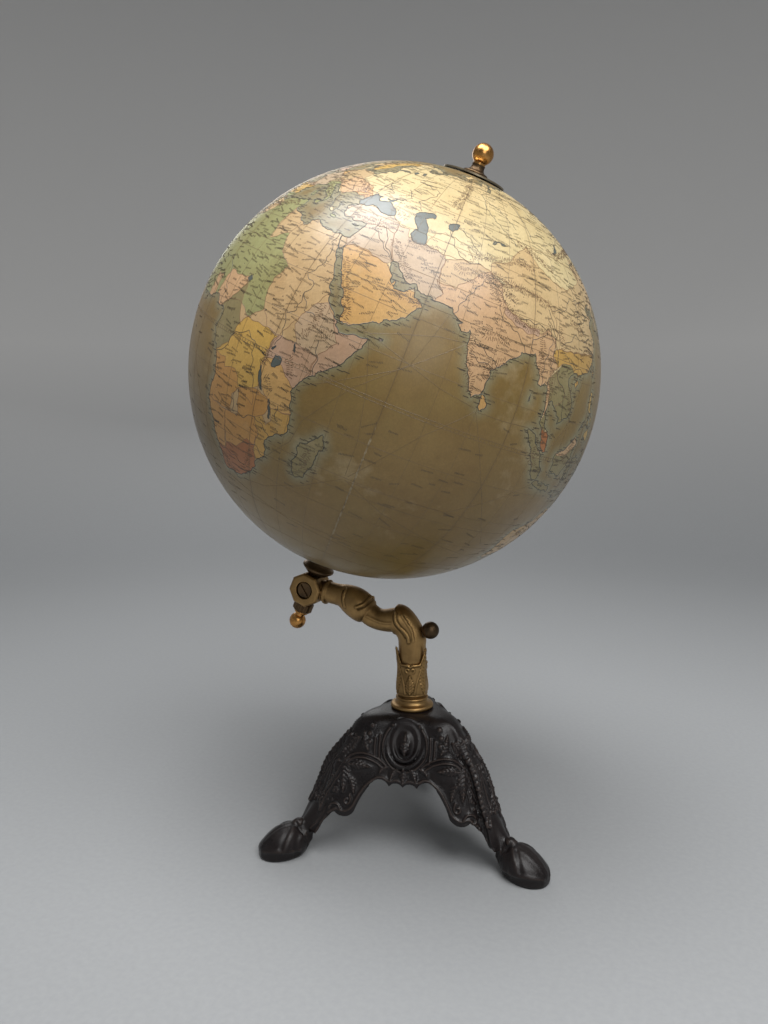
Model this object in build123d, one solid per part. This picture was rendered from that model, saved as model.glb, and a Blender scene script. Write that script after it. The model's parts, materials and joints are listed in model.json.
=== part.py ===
from build123d import *
import os
from math import cos, log2, pi, radians, sin, sqrt

# Terrestrial table globe on an S-shaped brass arm and a cast-iron tripod, in millimetres.
# Origin on the floor under the tripod's axis, +Z up, arm in the XZ plane, north end leaning to +X.

# The drawing's datum lies this far under the floor; every piece is lowered by it at the end
FLOOR_Z = 5.0

# Globe
GLOBE_R = 165.0
PAPER = 0.3
SHELL = 4.0
TILT = 23.5
GLOBE_X = -17.0
GLOBE_Z = 394.5
GORES = 12
FIRST_GORE_EDGE = 21.0
CALOTTE_LATITUDE = 70.0
BUSH_HEAD_R = 9.0
BUSH_SLEEVE_R = 6.5
BUSH_DEPTH = 24.0
BUSH_SHOULDER = 8.0
BUSH_PROUD = 0.9
POLE_BLOCK_R = 24.0
POLE_BLOCK_DEPTH = 20.0
BAND_HALF_HEIGHT = 11.0
BAND_THICK = 2.5

# Axis rod and what it carries, heights measured along the rod from the globe's centre
ROD_R = 3.5
RUNNING = 0.05
ROD_TOP = 181.0
ROD_BOTTOM = -226.0
DIAL_R = 25.0
DIAL_THICK = 1.2
DIAL_HUB_R = 10.5
DIAL_DISH = 1.6
DIAL_BOTTOM = GLOBE_R + BUSH_PROUD + 0.1
TOP_COLLAR_BOTTOM = DIAL_BOTTOM + DIAL_THICK + 0.1
TOP_BALL_R = 8.2
TOP_BALL_CENTRE = 183.5
SEAT_TOP = -(GLOBE_R + BUSH_PROUD + 0.1)
HEAD_CENTRE = -198.6
HEAD_FLATS = 28.0
HEAD_DEPTH = 26.0
LOWER_NUT_R = 8.8
LOWER_NUT_HEIGHT = 8.6
LOWER_BALL_R = 7.3
LOWER_BALL_CENTRE = -232.0

# Clamp screw in the head's front recess
RECESS_R = 7.6
RECESS_DEPTH = 4.0
CLAMP_HEAD_R = 6.4
CLAMP_HEAD_HEIGHT = 2.8
CLAMP_SHANK_R = 3.0
SLOT_WIDTH = 1.4

# Tripod casting
CASTING_TOP = 117.0
LEG_ANGLES = (101.5, 221.5, 341.5)
PANEL_POINTS = 16
# height, distance of the flat side from the axis, distance of the leg's crest from the axis
OUTER_SECTIONS = (
    (117.0, 20.0, 29.0),
    (116.2, 22.5, 38.0),
    (114.8, 25.5, 47.5),
    (112.0, 28.5, 53.5),
    (107.5, 31.0, 58.0),
    (101.5, 34.0, 62.0),
    (88.5, 39.5, 70.0),
    (74.0, 46.0, 77.0),
    (59.0, 52.0, 83.0),
    (42.0, 57.0, 89.0),
    (24.0, 62.0, 96.0),
)
INNER_SECTIONS = (
    (109.5, 23.0, 42.0),
    (105.5, 26.0, 48.5),
    (100.0, 28.5, 53.0),
    (88.0, 34.0, 62.0),
    (74.0, 40.0, 69.5),
    (59.0, 46.0, 75.5),
    (42.0, 51.0, 81.5),
    (20.0, 56.0, 90.0),
)
HUB_R = 14.0
HUB_BOTTOM = 99.0

# Apron edge, half of it: sideways distance from the panel's middle, height
PENDANT_TIP = (0.0, 66.0)
PENDANT_NOTCH = (5.6, 68.8)
PENDANT_OUTER_TIP = (11.3, 66.0)
ARCH_CROWN = (19.0, 70.8)
ARCH_SPRING = (28.0, 65.0)
ARCH_SIDE = (35.0, 54.5)
FLANGE_START = (38.8, 46.0)
FLANGE_TIP = (47.5, 41.3)
FLANGE_NOTCH = (56.0, 44.7)
ANKLE_START = (65.0, 35.0)
ANKLE_END = (74.0, 16.0)

# Oval cartouche on each panel
CARTOUCHE_OUT = 35.0
CARTOUCHE_Z = 98.0
CARTOUCHE_SLOPE = 29.0
CARTOUCHE_HALF_WIDTH = 15.4
CARTOUCHE_HALF_HEIGHT = 19.0
FRAME_R = 2.2
INNER_FRAME_INSET = 4.8
INNER_FRAME_R = 1.6
INNER_FRAME_LIFT = 1.2
MEDALLION_HALF_WIDTH = 6.6
MEDALLION_HALF_HEIGHT = 9.6
MEDALLION_RISE = 3.2

# Leg: ankle path as distance from the axis, height and bar radius
ANKLE_PATH = (
    (79.6, 48.0, 9.0),
    (85.0, 36.5, 8.2),
    (91.5, 26.5, 7.4),
    (98.0, 18.5, 7.4),
)
# distance from the axis, half width, top and bottom of the hoof before it is cut at the floor
HOOF_STATIONS = (
    (92.0, 6.0, 20.5, 9.5),
    (97.5, 11.8, 26.5, 4.2),
    (105.5, 15.8, 29.5, 0.5),
    (114.5, 17.0, 28.0, -0.5),
    (123.0, 15.2, 23.5, 0.0),
    (129.5, 11.0, 18.0, 2.5),
    (133.5, 5.5, 13.0, 6.0),
)
# distance from the axis, height and radius of the knob above the hoof; distance, side, height, radius of the spurs
FETLOCK = (99.5, 26.4, 5.4)
HEEL_SPUR = (92.4, 4.8, 17.0, 3.4)

# Spindle stack
SPINDLE_R = 5.0
SPINDLE_TOP = 188.5
SPINDLE_BOTTOM = 86.0
SHOULDER_R = 8.5
SHOULDER_BOTTOM = 130.0
SHOULDER_TOP = 133.0
COLLAR_TOP = 127.0
COLLAR_R = 18.2
WASHER_R = 12.0
WASHER_THICK = 2.0
NUT_FLATS = 17.0
NUT_HEIGHT = 8.0

# Leaf cup
CUP_BORE_R = 10.6
CUP_BORE_TOP = 151.0
LEAF_TIP_Z = 171.0
LEAF_VALLEY_Z = 152.5
LEAF_SHOULDER_Z = 157.0
LEAF_TIP_R = 15.0

# Arm: stations along the bar as x, z, radius and heading in degrees above -X
POST_FOOT_R = 10.5
POST_R = 11.7
POST_STRAIGHT_TOP = 172.0
COWL_STATIONS = (
    (0.0, 172.0, 11.7, 90.0),
    (-0.8, 179.0, 11.8, 72.0),
    (-4.4, 185.6, 11.8, 45.0),
    (-9.2, 190.4, 12.8, 20.0),
    (-14.3, 191.7, 13.0, 4.0),
)
BAR_STATIONS = (
    (-7.0, 190.8, 10.8, -2.0),
    (-18.5, 190.5, 10.2, -5.0),
    (-27.5, 189.8, 9.4, 4.0),
    (-35.0, 191.6, 9.5, 25.0),
    (-39.8, 194.6, 9.6, 35.0),
)
SHEATH_STATIONS = (
    (-39.8, 194.6, 9.6, 35.0),
    (-42.0, 196.1, 11.9, 35.0),
    (-46.6, 199.3, 13.2, 34.0),
    (-53.5, 203.6, 13.1, 30.0),
    (-60.0, 206.6, 11.6, 20.0),
    (-66.0, 208.2, 9.7, 8.0),
)
NECK_R = 9.3
NECK_LENGTH = 28.0
NECK_RING_AT = 13.5
NECK_RING_R = 10.9

# Ball-headed lock screw behind the elbow
KNOB_X = 16.2
KNOB_Z = 185.0
KNOB_R = 7.3
KNOB_CLEARANCE = 0.6
SCREW_R = 2.5
SCREW_TIP_GAP = 0.4


def lathe(*outline):
    """Solid of revolution about Z from (radius, height) points."""
    return revolve(Plane.XZ * make_face(Polyline(*outline, close=True)), Axis.Z)


def lathe_edges(*edges):
    """Solid of revolution about Z from edges drawn in (radius, height)."""
    return revolve(Plane.XZ * make_face(edges), Axis.Z)


def drum(radius, bottom, top):
    """Upright cylinder between two heights."""
    return Pos(0, 0, bottom) * Cylinder(radius, top - bottom, align=(Align.CENTER, Align.CENTER, Align.MIN))


def sphere_height(radius, distance):
    """Height of a sphere's surface at a distance from the axis."""
    return sqrt(radius**2 - distance**2)


def on_axis(solid):
    """Move a piece drawn about the globe's centre to its place on the leaning axis."""
    return Pos(GLOBE_X, 0, GLOBE_Z) * Rot(0, TILT, 0) * solid


def across_bar(x, z, radius, heading):
    """Plane square to the bar at a station, looking along it."""
    return Plane((x, 0, z), x_dir=(0, 1, 0), z_dir=(-cos(radians(heading)), 0, sin(radians(heading))))


def round_bar(stations):
    """Loft of circles across a path in the arm's plane."""
    return loft([across_bar(*station) * Circle(station[2]) for station in stations])


def casting_section(height, side, crest):
    """Rounded triangle across the casting, one curve for each side, its corners over the legs."""
    sharpness = -1 / log2(crest / (2 * side))
    reach = pi / 3
    points = []
    for step in range(PANEL_POINTS + 1):
        angle = reach * (2 * step / PANEL_POINTS - 1)
        pull = sum(max(0.0, cos(angle - 2 * pi * k / 3)) ** sharpness for k in range(3))
        radius = side / pull ** (1 / sharpness)
        points.append((radius * cos(angle), radius * sin(angle), height))
    leaving = (sin(reach), cos(reach), 0)
    arriving = (-sin(reach), cos(reach), 0)
    panel = Spline(*points, tangents=(leaving, arriving))
    return make_face([Rot(0, 0, leg + 60) * panel for leg in LEG_ANGLES])


def apron_cutter():
    """What is cut away below one apron, towards +X before it is turned to its panel."""
    edge = (
        ThreePointArc(PENDANT_TIP, PENDANT_NOTCH, PENDANT_OUTER_TIP),
        ThreePointArc(PENDANT_OUTER_TIP, ARCH_CROWN, ARCH_SPRING),
        ThreePointArc(ARCH_SPRING, ARCH_SIDE, FLANGE_START),
        ThreePointArc(FLANGE_START, FLANGE_TIP, FLANGE_NOTCH),
        Polyline(FLANGE_NOTCH, ANKLE_START, ANKLE_END, (ANKLE_END[0], 0), (0, 0), PENDANT_TIP),
    )
    half = make_face(edge)
    outward = Plane((0, 0, 0), x_dir=(0, 1, 0), z_dir=(1, 0, 0))
    return extrude(outward * (half + mirror(half, about=Plane.YZ)), amount=GLOBE_R, dir=(1, 0, 0))


def oval_ring(half_width, half_height, radius):
    """Half-round oval moulding lying in the XY plane, long side along Y."""
    path = Ellipse(half_width, half_height).wire()
    section = Plane(path @ 0, x_dir=(0, 0, 1), z_dir=path % 0) * Circle(radius)
    return sweep(section, path=path)


def cartouche():
    """Double oval frame with a raised medallion, on the panel that faces +X."""
    outer = oval_ring(CARTOUCHE_HALF_WIDTH, CARTOUCHE_HALF_HEIGHT, FRAME_R)
    inner = oval_ring(
        CARTOUCHE_HALF_WIDTH - INNER_FRAME_INSET, CARTOUCHE_HALF_HEIGHT - INNER_FRAME_INSET, INNER_FRAME_R
    )
    medallion = extrude(Ellipse(MEDALLION_HALF_WIDTH, MEDALLION_HALF_HEIGHT), MEDALLION_RISE, taper=30)
    slope = radians(CARTOUCHE_SLOPE)
    face = Plane((CARTOUCHE_OUT, 0, CARTOUCHE_Z), x_dir=(0, 1, 0), z_dir=(cos(slope), 0, sin(slope)))
    return [face * outer, face * Pos(0, 0, INNER_FRAME_LIFT) * inner, face * medallion]


def ankle():
    """Bar from the knee to the hoof, on the leg that runs to +X."""
    sections = []
    for k, (out, z, radius) in enumerate(ANKLE_PATH):
        before = ANKLE_PATH[max(k - 1, 0)]
        after = ANKLE_PATH[min(k + 1, len(ANKLE_PATH) - 1)]
        along = Vector(after[0] - before[0], 0, after[1] - before[1])
        sections.append(Plane((out, 0, z), x_dir=(0, 1, 0), z_dir=along) * Circle(radius))
    return loft(sections)


def hoof():
    """Egg-shaped hoof on the leg that runs to +X, cut flat at the floor."""
    sections = []
    for out, half_width, top, bottom in HOOF_STATIONS:
        across = Plane((out, 0, (top + bottom) / 2), x_dir=(0, 1, 0), z_dir=(1, 0, 0))
        sections.append(across * Ellipse(half_width, (top - bottom) / 2))
    return split(loft(sections), bisect_by=Plane.XY.offset(FLOOR_Z), keep=Keep.TOP)


def tripod_base():
    """Hollow three-legged casting."""
    outside = loft([casting_section(*row) for row in OUTER_SECTIONS])
    inside = loft([casting_section(*row) for row in INNER_SECTIONS])
    casting = outside - inside
    casting -= [Rot(0, 0, leg + 60) * apron_cutter() for leg in LEG_ANGLES]
    fetlock_out, fetlock_z, fetlock_r = FETLOCK
    lower_leg = ankle() + hoof() + Pos(fetlock_out, 0, fetlock_z) * Sphere(fetlock_r)
    spur_out, spur_side, spur_z, spur_r = HEEL_SPUR
    lower_leg += [Pos(spur_out, side, spur_z) * Sphere(spur_r) for side in (-spur_side, spur_side)]
    casting += [Rot(0, 0, leg) * lower_leg for leg in LEG_ANGLES]
    casting += [Rot(0, 0, leg + 60) * piece for leg in LEG_ANGLES for piece in cartouche()]
    casting += drum(HUB_R, HUB_BOTTOM, CASTING_TOP - 2)
    return casting - drum(SPINDLE_R, HUB_BOTTOM - 1, CASTING_TOP + 1)


def base_collar():
    """Turned collar with a rolled rim and a ring under the cup."""
    top_r = 12.9
    return lathe_edges(
        Polyline((SPINDLE_R, COLLAR_TOP), (SPINDLE_R, CASTING_TOP), (COLLAR_R - 1.6, CASTING_TOP)),
        ThreePointArc((COLLAR_R - 1.6, CASTING_TOP), (COLLAR_R, 118.9), (COLLAR_R - 1.4, 120.9)),
        Line((COLLAR_R - 1.4, 120.9), (COLLAR_R - 2.6, 121.3)),
        ThreePointArc((COLLAR_R - 2.6, 121.3), (14.0, 122.2), (top_r, 124.6)),
        ThreePointArc((top_r, 124.6), (top_r + 0.9, 125.8), (top_r, COLLAR_TOP)),
        Line((top_r, COLLAR_TOP), (SPINDLE_R, COLLAR_TOP)),
    )


def leaf_cup():
    """Calyx socket with three pointed leaves over the legs."""
    cup = lathe_edges(
        Polyline((SPINDLE_R, COLLAR_TOP), (12.2, COLLAR_TOP)),
        Spline((12.2, COLLAR_TOP), (13.3, 132.0), (12.4, 146.0), (13.0, 160.0), (LEAF_TIP_R, LEAF_TIP_Z)),
        Line((LEAF_TIP_R, LEAF_TIP_Z), (LEAF_TIP_R - 1.4, LEAF_TIP_Z)),
        Spline((LEAF_TIP_R - 1.4, LEAF_TIP_Z), (12.1, 160.0), (CUP_BORE_R, CUP_BORE_TOP)),
        Polyline(
            (CUP_BORE_R, CUP_BORE_TOP),
            (CUP_BORE_R, SHOULDER_BOTTOM),
            (SPINDLE_R, SHOULDER_BOTTOM),
            (SPINDLE_R, COLLAR_TOP),
        ),
    )
    tip = (LEAF_TIP_R * sin(radians(60)) - 0.4, LEAF_TIP_Z + 1)
    above = LEAF_TIP_Z + 2
    valley = (0, LEAF_VALLEY_Z)
    shoulder = (8.6, LEAF_SHOULDER_Z)
    half = make_face(
        [
            ThreePointArc(valley, (4.6, 155.8), shoulder),
            ThreePointArc(shoulder, (10.3, 162.0), tip),
            Polyline(tip, (tip[0], above), (0, above), valley),
        ]
    )
    outward = Plane((0, 0, 0), x_dir=(0, 1, 0), z_dir=(1, 0, 0))
    cutter = extrude(outward * (half + mirror(half, about=Plane.YZ)), amount=2 * LEAF_TIP_R, dir=(1, 0, 0))
    return cup - [Rot(0, 0, leg + 60) * cutter for leg in LEG_ANGLES]


def post_spindle():
    """Spindle with the shoulder that the nut pulls down on the cup."""
    chamfer_size = 1.0
    return lathe(
        (0, SPINDLE_BOTTOM),
        (SPINDLE_R - chamfer_size, SPINDLE_BOTTOM),
        (SPINDLE_R, SPINDLE_BOTTOM + chamfer_size),
        (SPINDLE_R, SHOULDER_BOTTOM),
        (SHOULDER_R, SHOULDER_BOTTOM),
        (SHOULDER_R, SHOULDER_TOP),
        (SPINDLE_R, SHOULDER_TOP),
        (SPINDLE_R, SPINDLE_TOP - chamfer_size),
        (SPINDLE_R - chamfer_size, SPINDLE_TOP),
        (0, SPINDLE_TOP),
    )


def base_washer():
    """Plain washer under the hub."""
    bottom = HUB_BOTTOM - WASHER_THICK
    return drum(WASHER_R, bottom, HUB_BOTTOM) - drum(SPINDLE_R, bottom, HUB_BOTTOM)


def base_nut():
    """Hexagon nut with chamfered corners."""
    top = HUB_BOTTOM - WASHER_THICK
    bottom = top - NUT_HEIGHT
    hexagon = RegularPolygon(NUT_FLATS / 2, 6, major_radius=False)
    nut = Pos(0, 0, bottom) * extrude(hexagon, NUT_HEIGHT)
    corner_r = NUT_FLATS / sqrt(3)
    nut &= lathe(
        (0, bottom),
        (NUT_FLATS / 2, bottom),
        (corner_r + 0.2, bottom + 1.2),
        (corner_r + 0.2, top - 1.2),
        (NUT_FLATS / 2, top),
        (0, top),
    )
    return nut - drum(SPINDLE_R, bottom, top)


def arm():
    """S-shaped casting: post, cowl, bar, sheath, neck ring and octagonal head."""
    post = lathe(
        (0, SHOULDER_TOP),
        (POST_FOOT_R, SHOULDER_TOP),
        (POST_FOOT_R, CUP_BORE_TOP),
        (POST_R, 161.5),
        (POST_R, POST_STRAIGHT_TOP),
        (0, POST_STRAIGHT_TOP),
    )
    neck = lathe(
        (0, 0),
        (SHEATH_STATIONS[-1][2], 0),
        (NECK_R, 5),
        (NECK_R, NECK_RING_AT - 2.4),
        (NECK_RING_R, NECK_RING_AT - 1),
        (NECK_RING_R, NECK_RING_AT + 1),
        (NECK_R, NECK_RING_AT + 2.4),
        (NECK_R, NECK_LENGTH),
        (0, NECK_LENGTH),
    )
    octagon = Plane.XZ * Rot(0, 0, 22.5) * RegularPolygon(HEAD_FLATS / 2, 8, major_radius=False)
    head = extrude(octagon, HEAD_DEPTH / 2, both=True)
    head = chamfer(head.faces().filter_by(Axis.Y).edges(), 1.6)
    casting = post + round_bar(COWL_STATIONS) + round_bar(BAR_STATIONS) + round_bar(SHEATH_STATIONS)
    casting += across_bar(*SHEATH_STATIONS[-1]) * neck
    casting += on_axis(Pos(0, 0, HEAD_CENTRE) * head)
    casting -= on_axis(drum(ROD_R, HEAD_CENTRE - 40, HEAD_CENTRE + 40))
    casting -= on_axis(head_hole(RECESS_R, HEAD_DEPTH / 2 - RECESS_DEPTH, HEAD_DEPTH / 2 + 1))
    casting -= on_axis(head_hole(CLAMP_SHANK_R, 0, HEAD_DEPTH / 2))
    casting -= drum(SPINDLE_R + RUNNING, SHOULDER_TOP - 1, SPINDLE_TOP + 0.4)
    casting -= Pos(KNOB_X, 0, KNOB_Z) * Sphere(KNOB_R + KNOB_CLEARANCE)
    casting -= Pos(0, 0, KNOB_Z) * Rot(0, 90, 0) * drum(SCREW_R + RUNNING, 0, KNOB_X)
    return casting


def head_hole(radius, near, far):
    """Cylinder into the head's front, between two depths from the rod's axis."""
    return Pos(0, 0, HEAD_CENTRE) * Rot(90, 0, 0) * drum(radius, near, far)


def rod_clamp_screw():
    """Slotted screw that holds the rod in the head."""
    seat = HEAD_DEPTH / 2 - RECESS_DEPTH
    top = seat + CLAMP_HEAD_HEIGHT
    screw = head_hole(CLAMP_SHANK_R, ROD_R, seat) + head_hole(CLAMP_HEAD_R, seat, top)
    slot = Box(2 * CLAMP_HEAD_R + 1, 2.4, SLOT_WIDTH)
    return screw - Pos(0, -top, HEAD_CENTRE) * Rot(0, 35, 0) * slot


def axis_rod():
    """Straight rod with chamfered ends."""
    chamfer_size = 0.8
    return lathe(
        (0, ROD_BOTTOM),
        (ROD_R - chamfer_size, ROD_BOTTOM),
        (ROD_R, ROD_BOTTOM + chamfer_size),
        (ROD_R, ROD_TOP - chamfer_size),
        (ROD_R - chamfer_size, ROD_TOP),
        (0, ROD_TOP),
    )


def south_seat():
    """Flared seat that carries the globe above the head."""
    head_top = HEAD_CENTRE + HEAD_FLATS / 2
    return lathe_edges(
        Polyline((ROD_R, head_top), (ROD_R, SEAT_TOP), (8.6, SEAT_TOP)),
        ThreePointArc((8.6, SEAT_TOP), (9.6, -167.8), (9.0, -169.6)),
        ThreePointArc((9.0, -169.6), (10.4, -174.2), (13.2, -176.8)),
        ThreePointArc((13.2, -176.8), (14.2, -178.2), (13.2, -179.6)),
        Polyline((13.2, -179.6), (9.5, -183.0), (7.0, head_top), (ROD_R, head_top)),
    )


def lower_nut():
    """Dark ring nut below the head."""
    top = HEAD_CENTRE - HEAD_FLATS / 2
    bottom = top - LOWER_NUT_HEIGHT
    edge = 1.2
    ring = lathe(
        (ROD_R, top),
        (LOWER_NUT_R - edge, top),
        (LOWER_NUT_R, top - edge),
        (LOWER_NUT_R, bottom + edge),
        (LOWER_NUT_R - edge, bottom),
        (ROD_R, bottom),
    )
    notch_count = 16
    for k in range(notch_count):
        groove = Rot(0, 0, 360 * k / notch_count) * Pos(LOWER_NUT_R + 0.35, 0, 0) * drum(0.9, bottom, top)
        ring -= groove
    return ring


def lower_finial():
    """Ball finial with a neck ring, on the rod's lower end."""
    top = HEAD_CENTRE - HEAD_FLATS / 2 - LOWER_NUT_HEIGHT
    neck_z = LOWER_BALL_CENTRE + sphere_height(LOWER_BALL_R, 4.2)
    ball_bottom = LOWER_BALL_CENTRE - LOWER_BALL_R
    return lathe_edges(
        Polyline((ROD_R, top), (5.2, top)),
        ThreePointArc((5.2, top), (6.3, top - 1.3), (5.2, top - 2.6)),
        Polyline((5.2, top - 2.6), (4.2, top - 3.0), (4.2, neck_z)),
        ThreePointArc((4.2, neck_z), (LOWER_BALL_R, LOWER_BALL_CENTRE), (0, ball_bottom)),
        Polyline((0, ball_bottom), (0, ROD_BOTTOM), (ROD_R, ROD_BOTTOM), (ROD_R, top)),
    )


def top_collar():
    """Small turned collar between hour dial and ball."""
    bottom = TOP_COLLAR_BOTTOM
    top = TOP_BALL_CENTRE - TOP_BALL_R
    return lathe_edges(
        Polyline((ROD_R, top), (ROD_R, bottom), (9.0, bottom)),
        ThreePointArc((9.0, bottom), (10.0, bottom + 1.2), (9.0, bottom + 2.4)),
        ThreePointArc((9.0, bottom + 2.4), (6.4, bottom + 3.6), (5.4, top)),
        Line((5.4, top), (ROD_R, top)),
    )


def ball_finial():
    """Ball on a short neck, on the rod's top end."""
    bottom = TOP_BALL_CENTRE - TOP_BALL_R
    neck_r = 4.8
    neck_z = TOP_BALL_CENTRE - sphere_height(TOP_BALL_R, neck_r)
    ball_top = TOP_BALL_CENTRE + TOP_BALL_R
    return lathe_edges(
        Polyline((ROD_R, ROD_TOP), (ROD_R, bottom), (neck_r, bottom), (neck_r, neck_z)),
        ThreePointArc((neck_r, neck_z), (TOP_BALL_R, TOP_BALL_CENTRE), (0, ball_top)),
        Polyline((0, ball_top), (0, ROD_TOP), (ROD_R, ROD_TOP)),
    )


def thumb_screw():
    """Ball-headed screw along +X, its tip just off the spindle."""
    neck_r = 3.4
    tip = SPINDLE_R + SCREW_TIP_GAP
    neck_end = KNOB_R - sphere_height(KNOB_R, neck_r)
    neck_at = KNOB_X - KNOB_R + neck_end
    screw = lathe_edges(
        Polyline((0, tip), (SCREW_R - 0.6, tip), (SCREW_R, tip + 0.6), (SCREW_R, neck_at - 0.2)),
        Polyline((SCREW_R, neck_at - 0.2), (neck_r, neck_at)),
        ThreePointArc((neck_r, neck_at), (KNOB_R, KNOB_X), (0, KNOB_X + KNOB_R)),
        Line((0, KNOB_X + KNOB_R), (0, tip)),
    )
    return Pos(0, 0, KNOB_Z) * Rot(0, 90, 0) * screw


def spherical_wall(inner, outer, low, high):
    """Wall profile between two spheres and two latitudes, as a face in (radius, height)."""

    def at(radius, latitude):
        return (radius * cos(radians(latitude)), radius * sin(radians(latitude)))

    middle = (low + high) / 2
    return make_face(
        [
            ThreePointArc(at(outer, low), at(outer, middle), at(outer, high)),
            Line(at(outer, high), at(inner, high)),
            ThreePointArc(at(inner, high), at(inner, middle), at(inner, low)),
            Line(at(inner, low), at(outer, low)),
        ]
    )


def gore(number):
    """One printed paper gore between the polar caps."""
    profile = spherical_wall(GLOBE_R - PAPER, GLOBE_R, -CALOTTE_LATITUDE, CALOTTE_LATITUDE)
    width = 360 / GORES
    strip = revolve(Plane.XZ * profile, Axis.Z, revolution_arc=width)
    return Rot(0, 0, FIRST_GORE_EDGE + number * width) * strip


def north_calotte():
    """Round paper cap over the gores' ends, with the bush's hole."""
    profile = spherical_wall(GLOBE_R - PAPER, GLOBE_R, CALOTTE_LATITUDE, 90)
    cap = revolve(Plane.XZ * profile, Axis.Z)
    return cap - drum(BUSH_HEAD_R, GLOBE_R - 10, GLOBE_R + 10)


def north_shell():
    """Upper hemisphere."""
    outer = GLOBE_R - PAPER
    shell = revolve(Plane.XZ * spherical_wall(outer - SHELL, outer, 0, 90), Axis.Z)
    return shell - drum(BUSH_HEAD_R, GLOBE_R - 20, GLOBE_R + 10)


def equator_band():
    """Band inside the joint of the two hemispheres."""
    wall = GLOBE_R - PAPER - SHELL
    edge = sphere_height(wall, BAND_HALF_HEIGHT)
    inside = edge - BAND_THICK
    return lathe_edges(
        ThreePointArc((edge, -BAND_HALF_HEIGHT), (wall, 0), (edge, BAND_HALF_HEIGHT)),
        Polyline(
            (edge, BAND_HALF_HEIGHT),
            (inside, BAND_HALF_HEIGHT),
            (inside, -BAND_HALF_HEIGHT),
            (edge, -BAND_HALF_HEIGHT),
        ),
    )


def north_pole_block():
    """Turned block under the pole, bored and counterbored for the bush."""
    wall = GLOBE_R - PAPER - SHELL
    bottom = wall - POLE_BLOCK_DEPTH
    block = lathe_edges(
        ThreePointArc(
            (0, wall),
            (POLE_BLOCK_R / 2, sphere_height(wall, POLE_BLOCK_R / 2)),
            (POLE_BLOCK_R, sphere_height(wall, POLE_BLOCK_R)),
        ),
        Polyline((POLE_BLOCK_R, sphere_height(wall, POLE_BLOCK_R)), (POLE_BLOCK_R, bottom), (0, bottom), (0, wall)),
    )
    block -= drum(BUSH_SLEEVE_R, bottom - 1, wall + 1)
    return block - drum(BUSH_HEAD_R, GLOBE_R + BUSH_PROUD - BUSH_SHOULDER, wall + 1)


def north_bush():
    """Shouldered bush that runs on the rod."""
    top = GLOBE_R + BUSH_PROUD
    bore = ROD_R + RUNNING
    return lathe(
        (bore, top),
        (BUSH_HEAD_R, top),
        (BUSH_HEAD_R, top - BUSH_SHOULDER),
        (BUSH_SLEEVE_R, top - BUSH_SHOULDER),
        (BUSH_SLEEVE_R, top - BUSH_DEPTH),
        (bore, top - BUSH_DEPTH),
    )


def hour_dial():
    """Thin disc, flat at the hub and dished like the globe below it, free to turn on the rod."""
    top = DIAL_BOTTOM + DIAL_THICK
    bore = ROD_R + RUNNING
    between = (DIAL_HUB_R + DIAL_R) / 2
    fall = 0.35 * DIAL_DISH
    return lathe_edges(
        Line((bore, DIAL_BOTTOM), (DIAL_HUB_R, DIAL_BOTTOM)),
        ThreePointArc((DIAL_HUB_R, DIAL_BOTTOM), (between, DIAL_BOTTOM - fall), (DIAL_R, DIAL_BOTTOM - DIAL_DISH)),
        Line((DIAL_R, DIAL_BOTTOM - DIAL_DISH), (DIAL_R, top - DIAL_DISH)),
        ThreePointArc((DIAL_R, top - DIAL_DISH), (between, top - fall), (DIAL_HUB_R, top)),
        Polyline((DIAL_HUB_R, top), (bore, top), (bore, DIAL_BOTTOM)),
    )


def south_of(piece):
    """The same piece at the other pole."""
    return mirror(piece, about=Plane.XY)


parts = {
    "tripod_base": tripod_base(),
    "base_collar": base_collar(),
    "leaf_cup": leaf_cup(),
    "post_spindle": post_spindle(),
    "base_washer": base_washer(),
    "base_nut": base_nut(),
    "arm": arm(),
    "rod_clamp_screw": on_axis(rod_clamp_screw()),
    "axis_rod": on_axis(axis_rod()),
    "south_seat": on_axis(south_seat()),
    "lower_nut": on_axis(lower_nut()),
    "lower_finial": on_axis(lower_finial()),
    "top_collar": on_axis(top_collar()),
    "ball_finial": on_axis(ball_finial()),
    "thumb_screw": thumb_screw(),
    "north_shell": on_axis(north_shell()),
    "south_shell": on_axis(south_of(north_shell())),
    "equator_band": on_axis(equator_band()),
    "north_pole_block": on_axis(north_pole_block()),
    "south_pole_block": on_axis(south_of(north_pole_block())),
    "north_bush": on_axis(north_bush()),
    "south_bush": on_axis(south_of(north_bush())),
    "north_calotte": on_axis(north_calotte()),
    "south_calotte": on_axis(south_of(north_calotte())),
    "hour_dial": on_axis(hour_dial()),
}
for number in range(GORES):
    parts[f"gore_{number + 1:02d}"] = on_axis(gore(number))

os.makedirs("parts", exist_ok=True)
for name, solid in parts.items():
    export_step(Pos(0, 0, -FLOOR_Z) * solid, f"parts/{name}.step")
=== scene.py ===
import json
import math

import bmesh
import bpy
import numpy as np
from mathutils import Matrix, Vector
from mathutils.geometry import delaunay_2d_cdt
from mathutils.kdtree import KDTree


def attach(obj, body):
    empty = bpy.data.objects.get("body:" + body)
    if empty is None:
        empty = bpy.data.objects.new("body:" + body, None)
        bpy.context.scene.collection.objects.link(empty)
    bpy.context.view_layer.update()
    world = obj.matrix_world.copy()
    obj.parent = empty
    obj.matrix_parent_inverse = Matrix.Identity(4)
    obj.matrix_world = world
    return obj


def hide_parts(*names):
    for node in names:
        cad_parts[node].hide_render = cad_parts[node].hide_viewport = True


# Terrestrial table globe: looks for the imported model, in metres, in the model's own frame.

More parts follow.
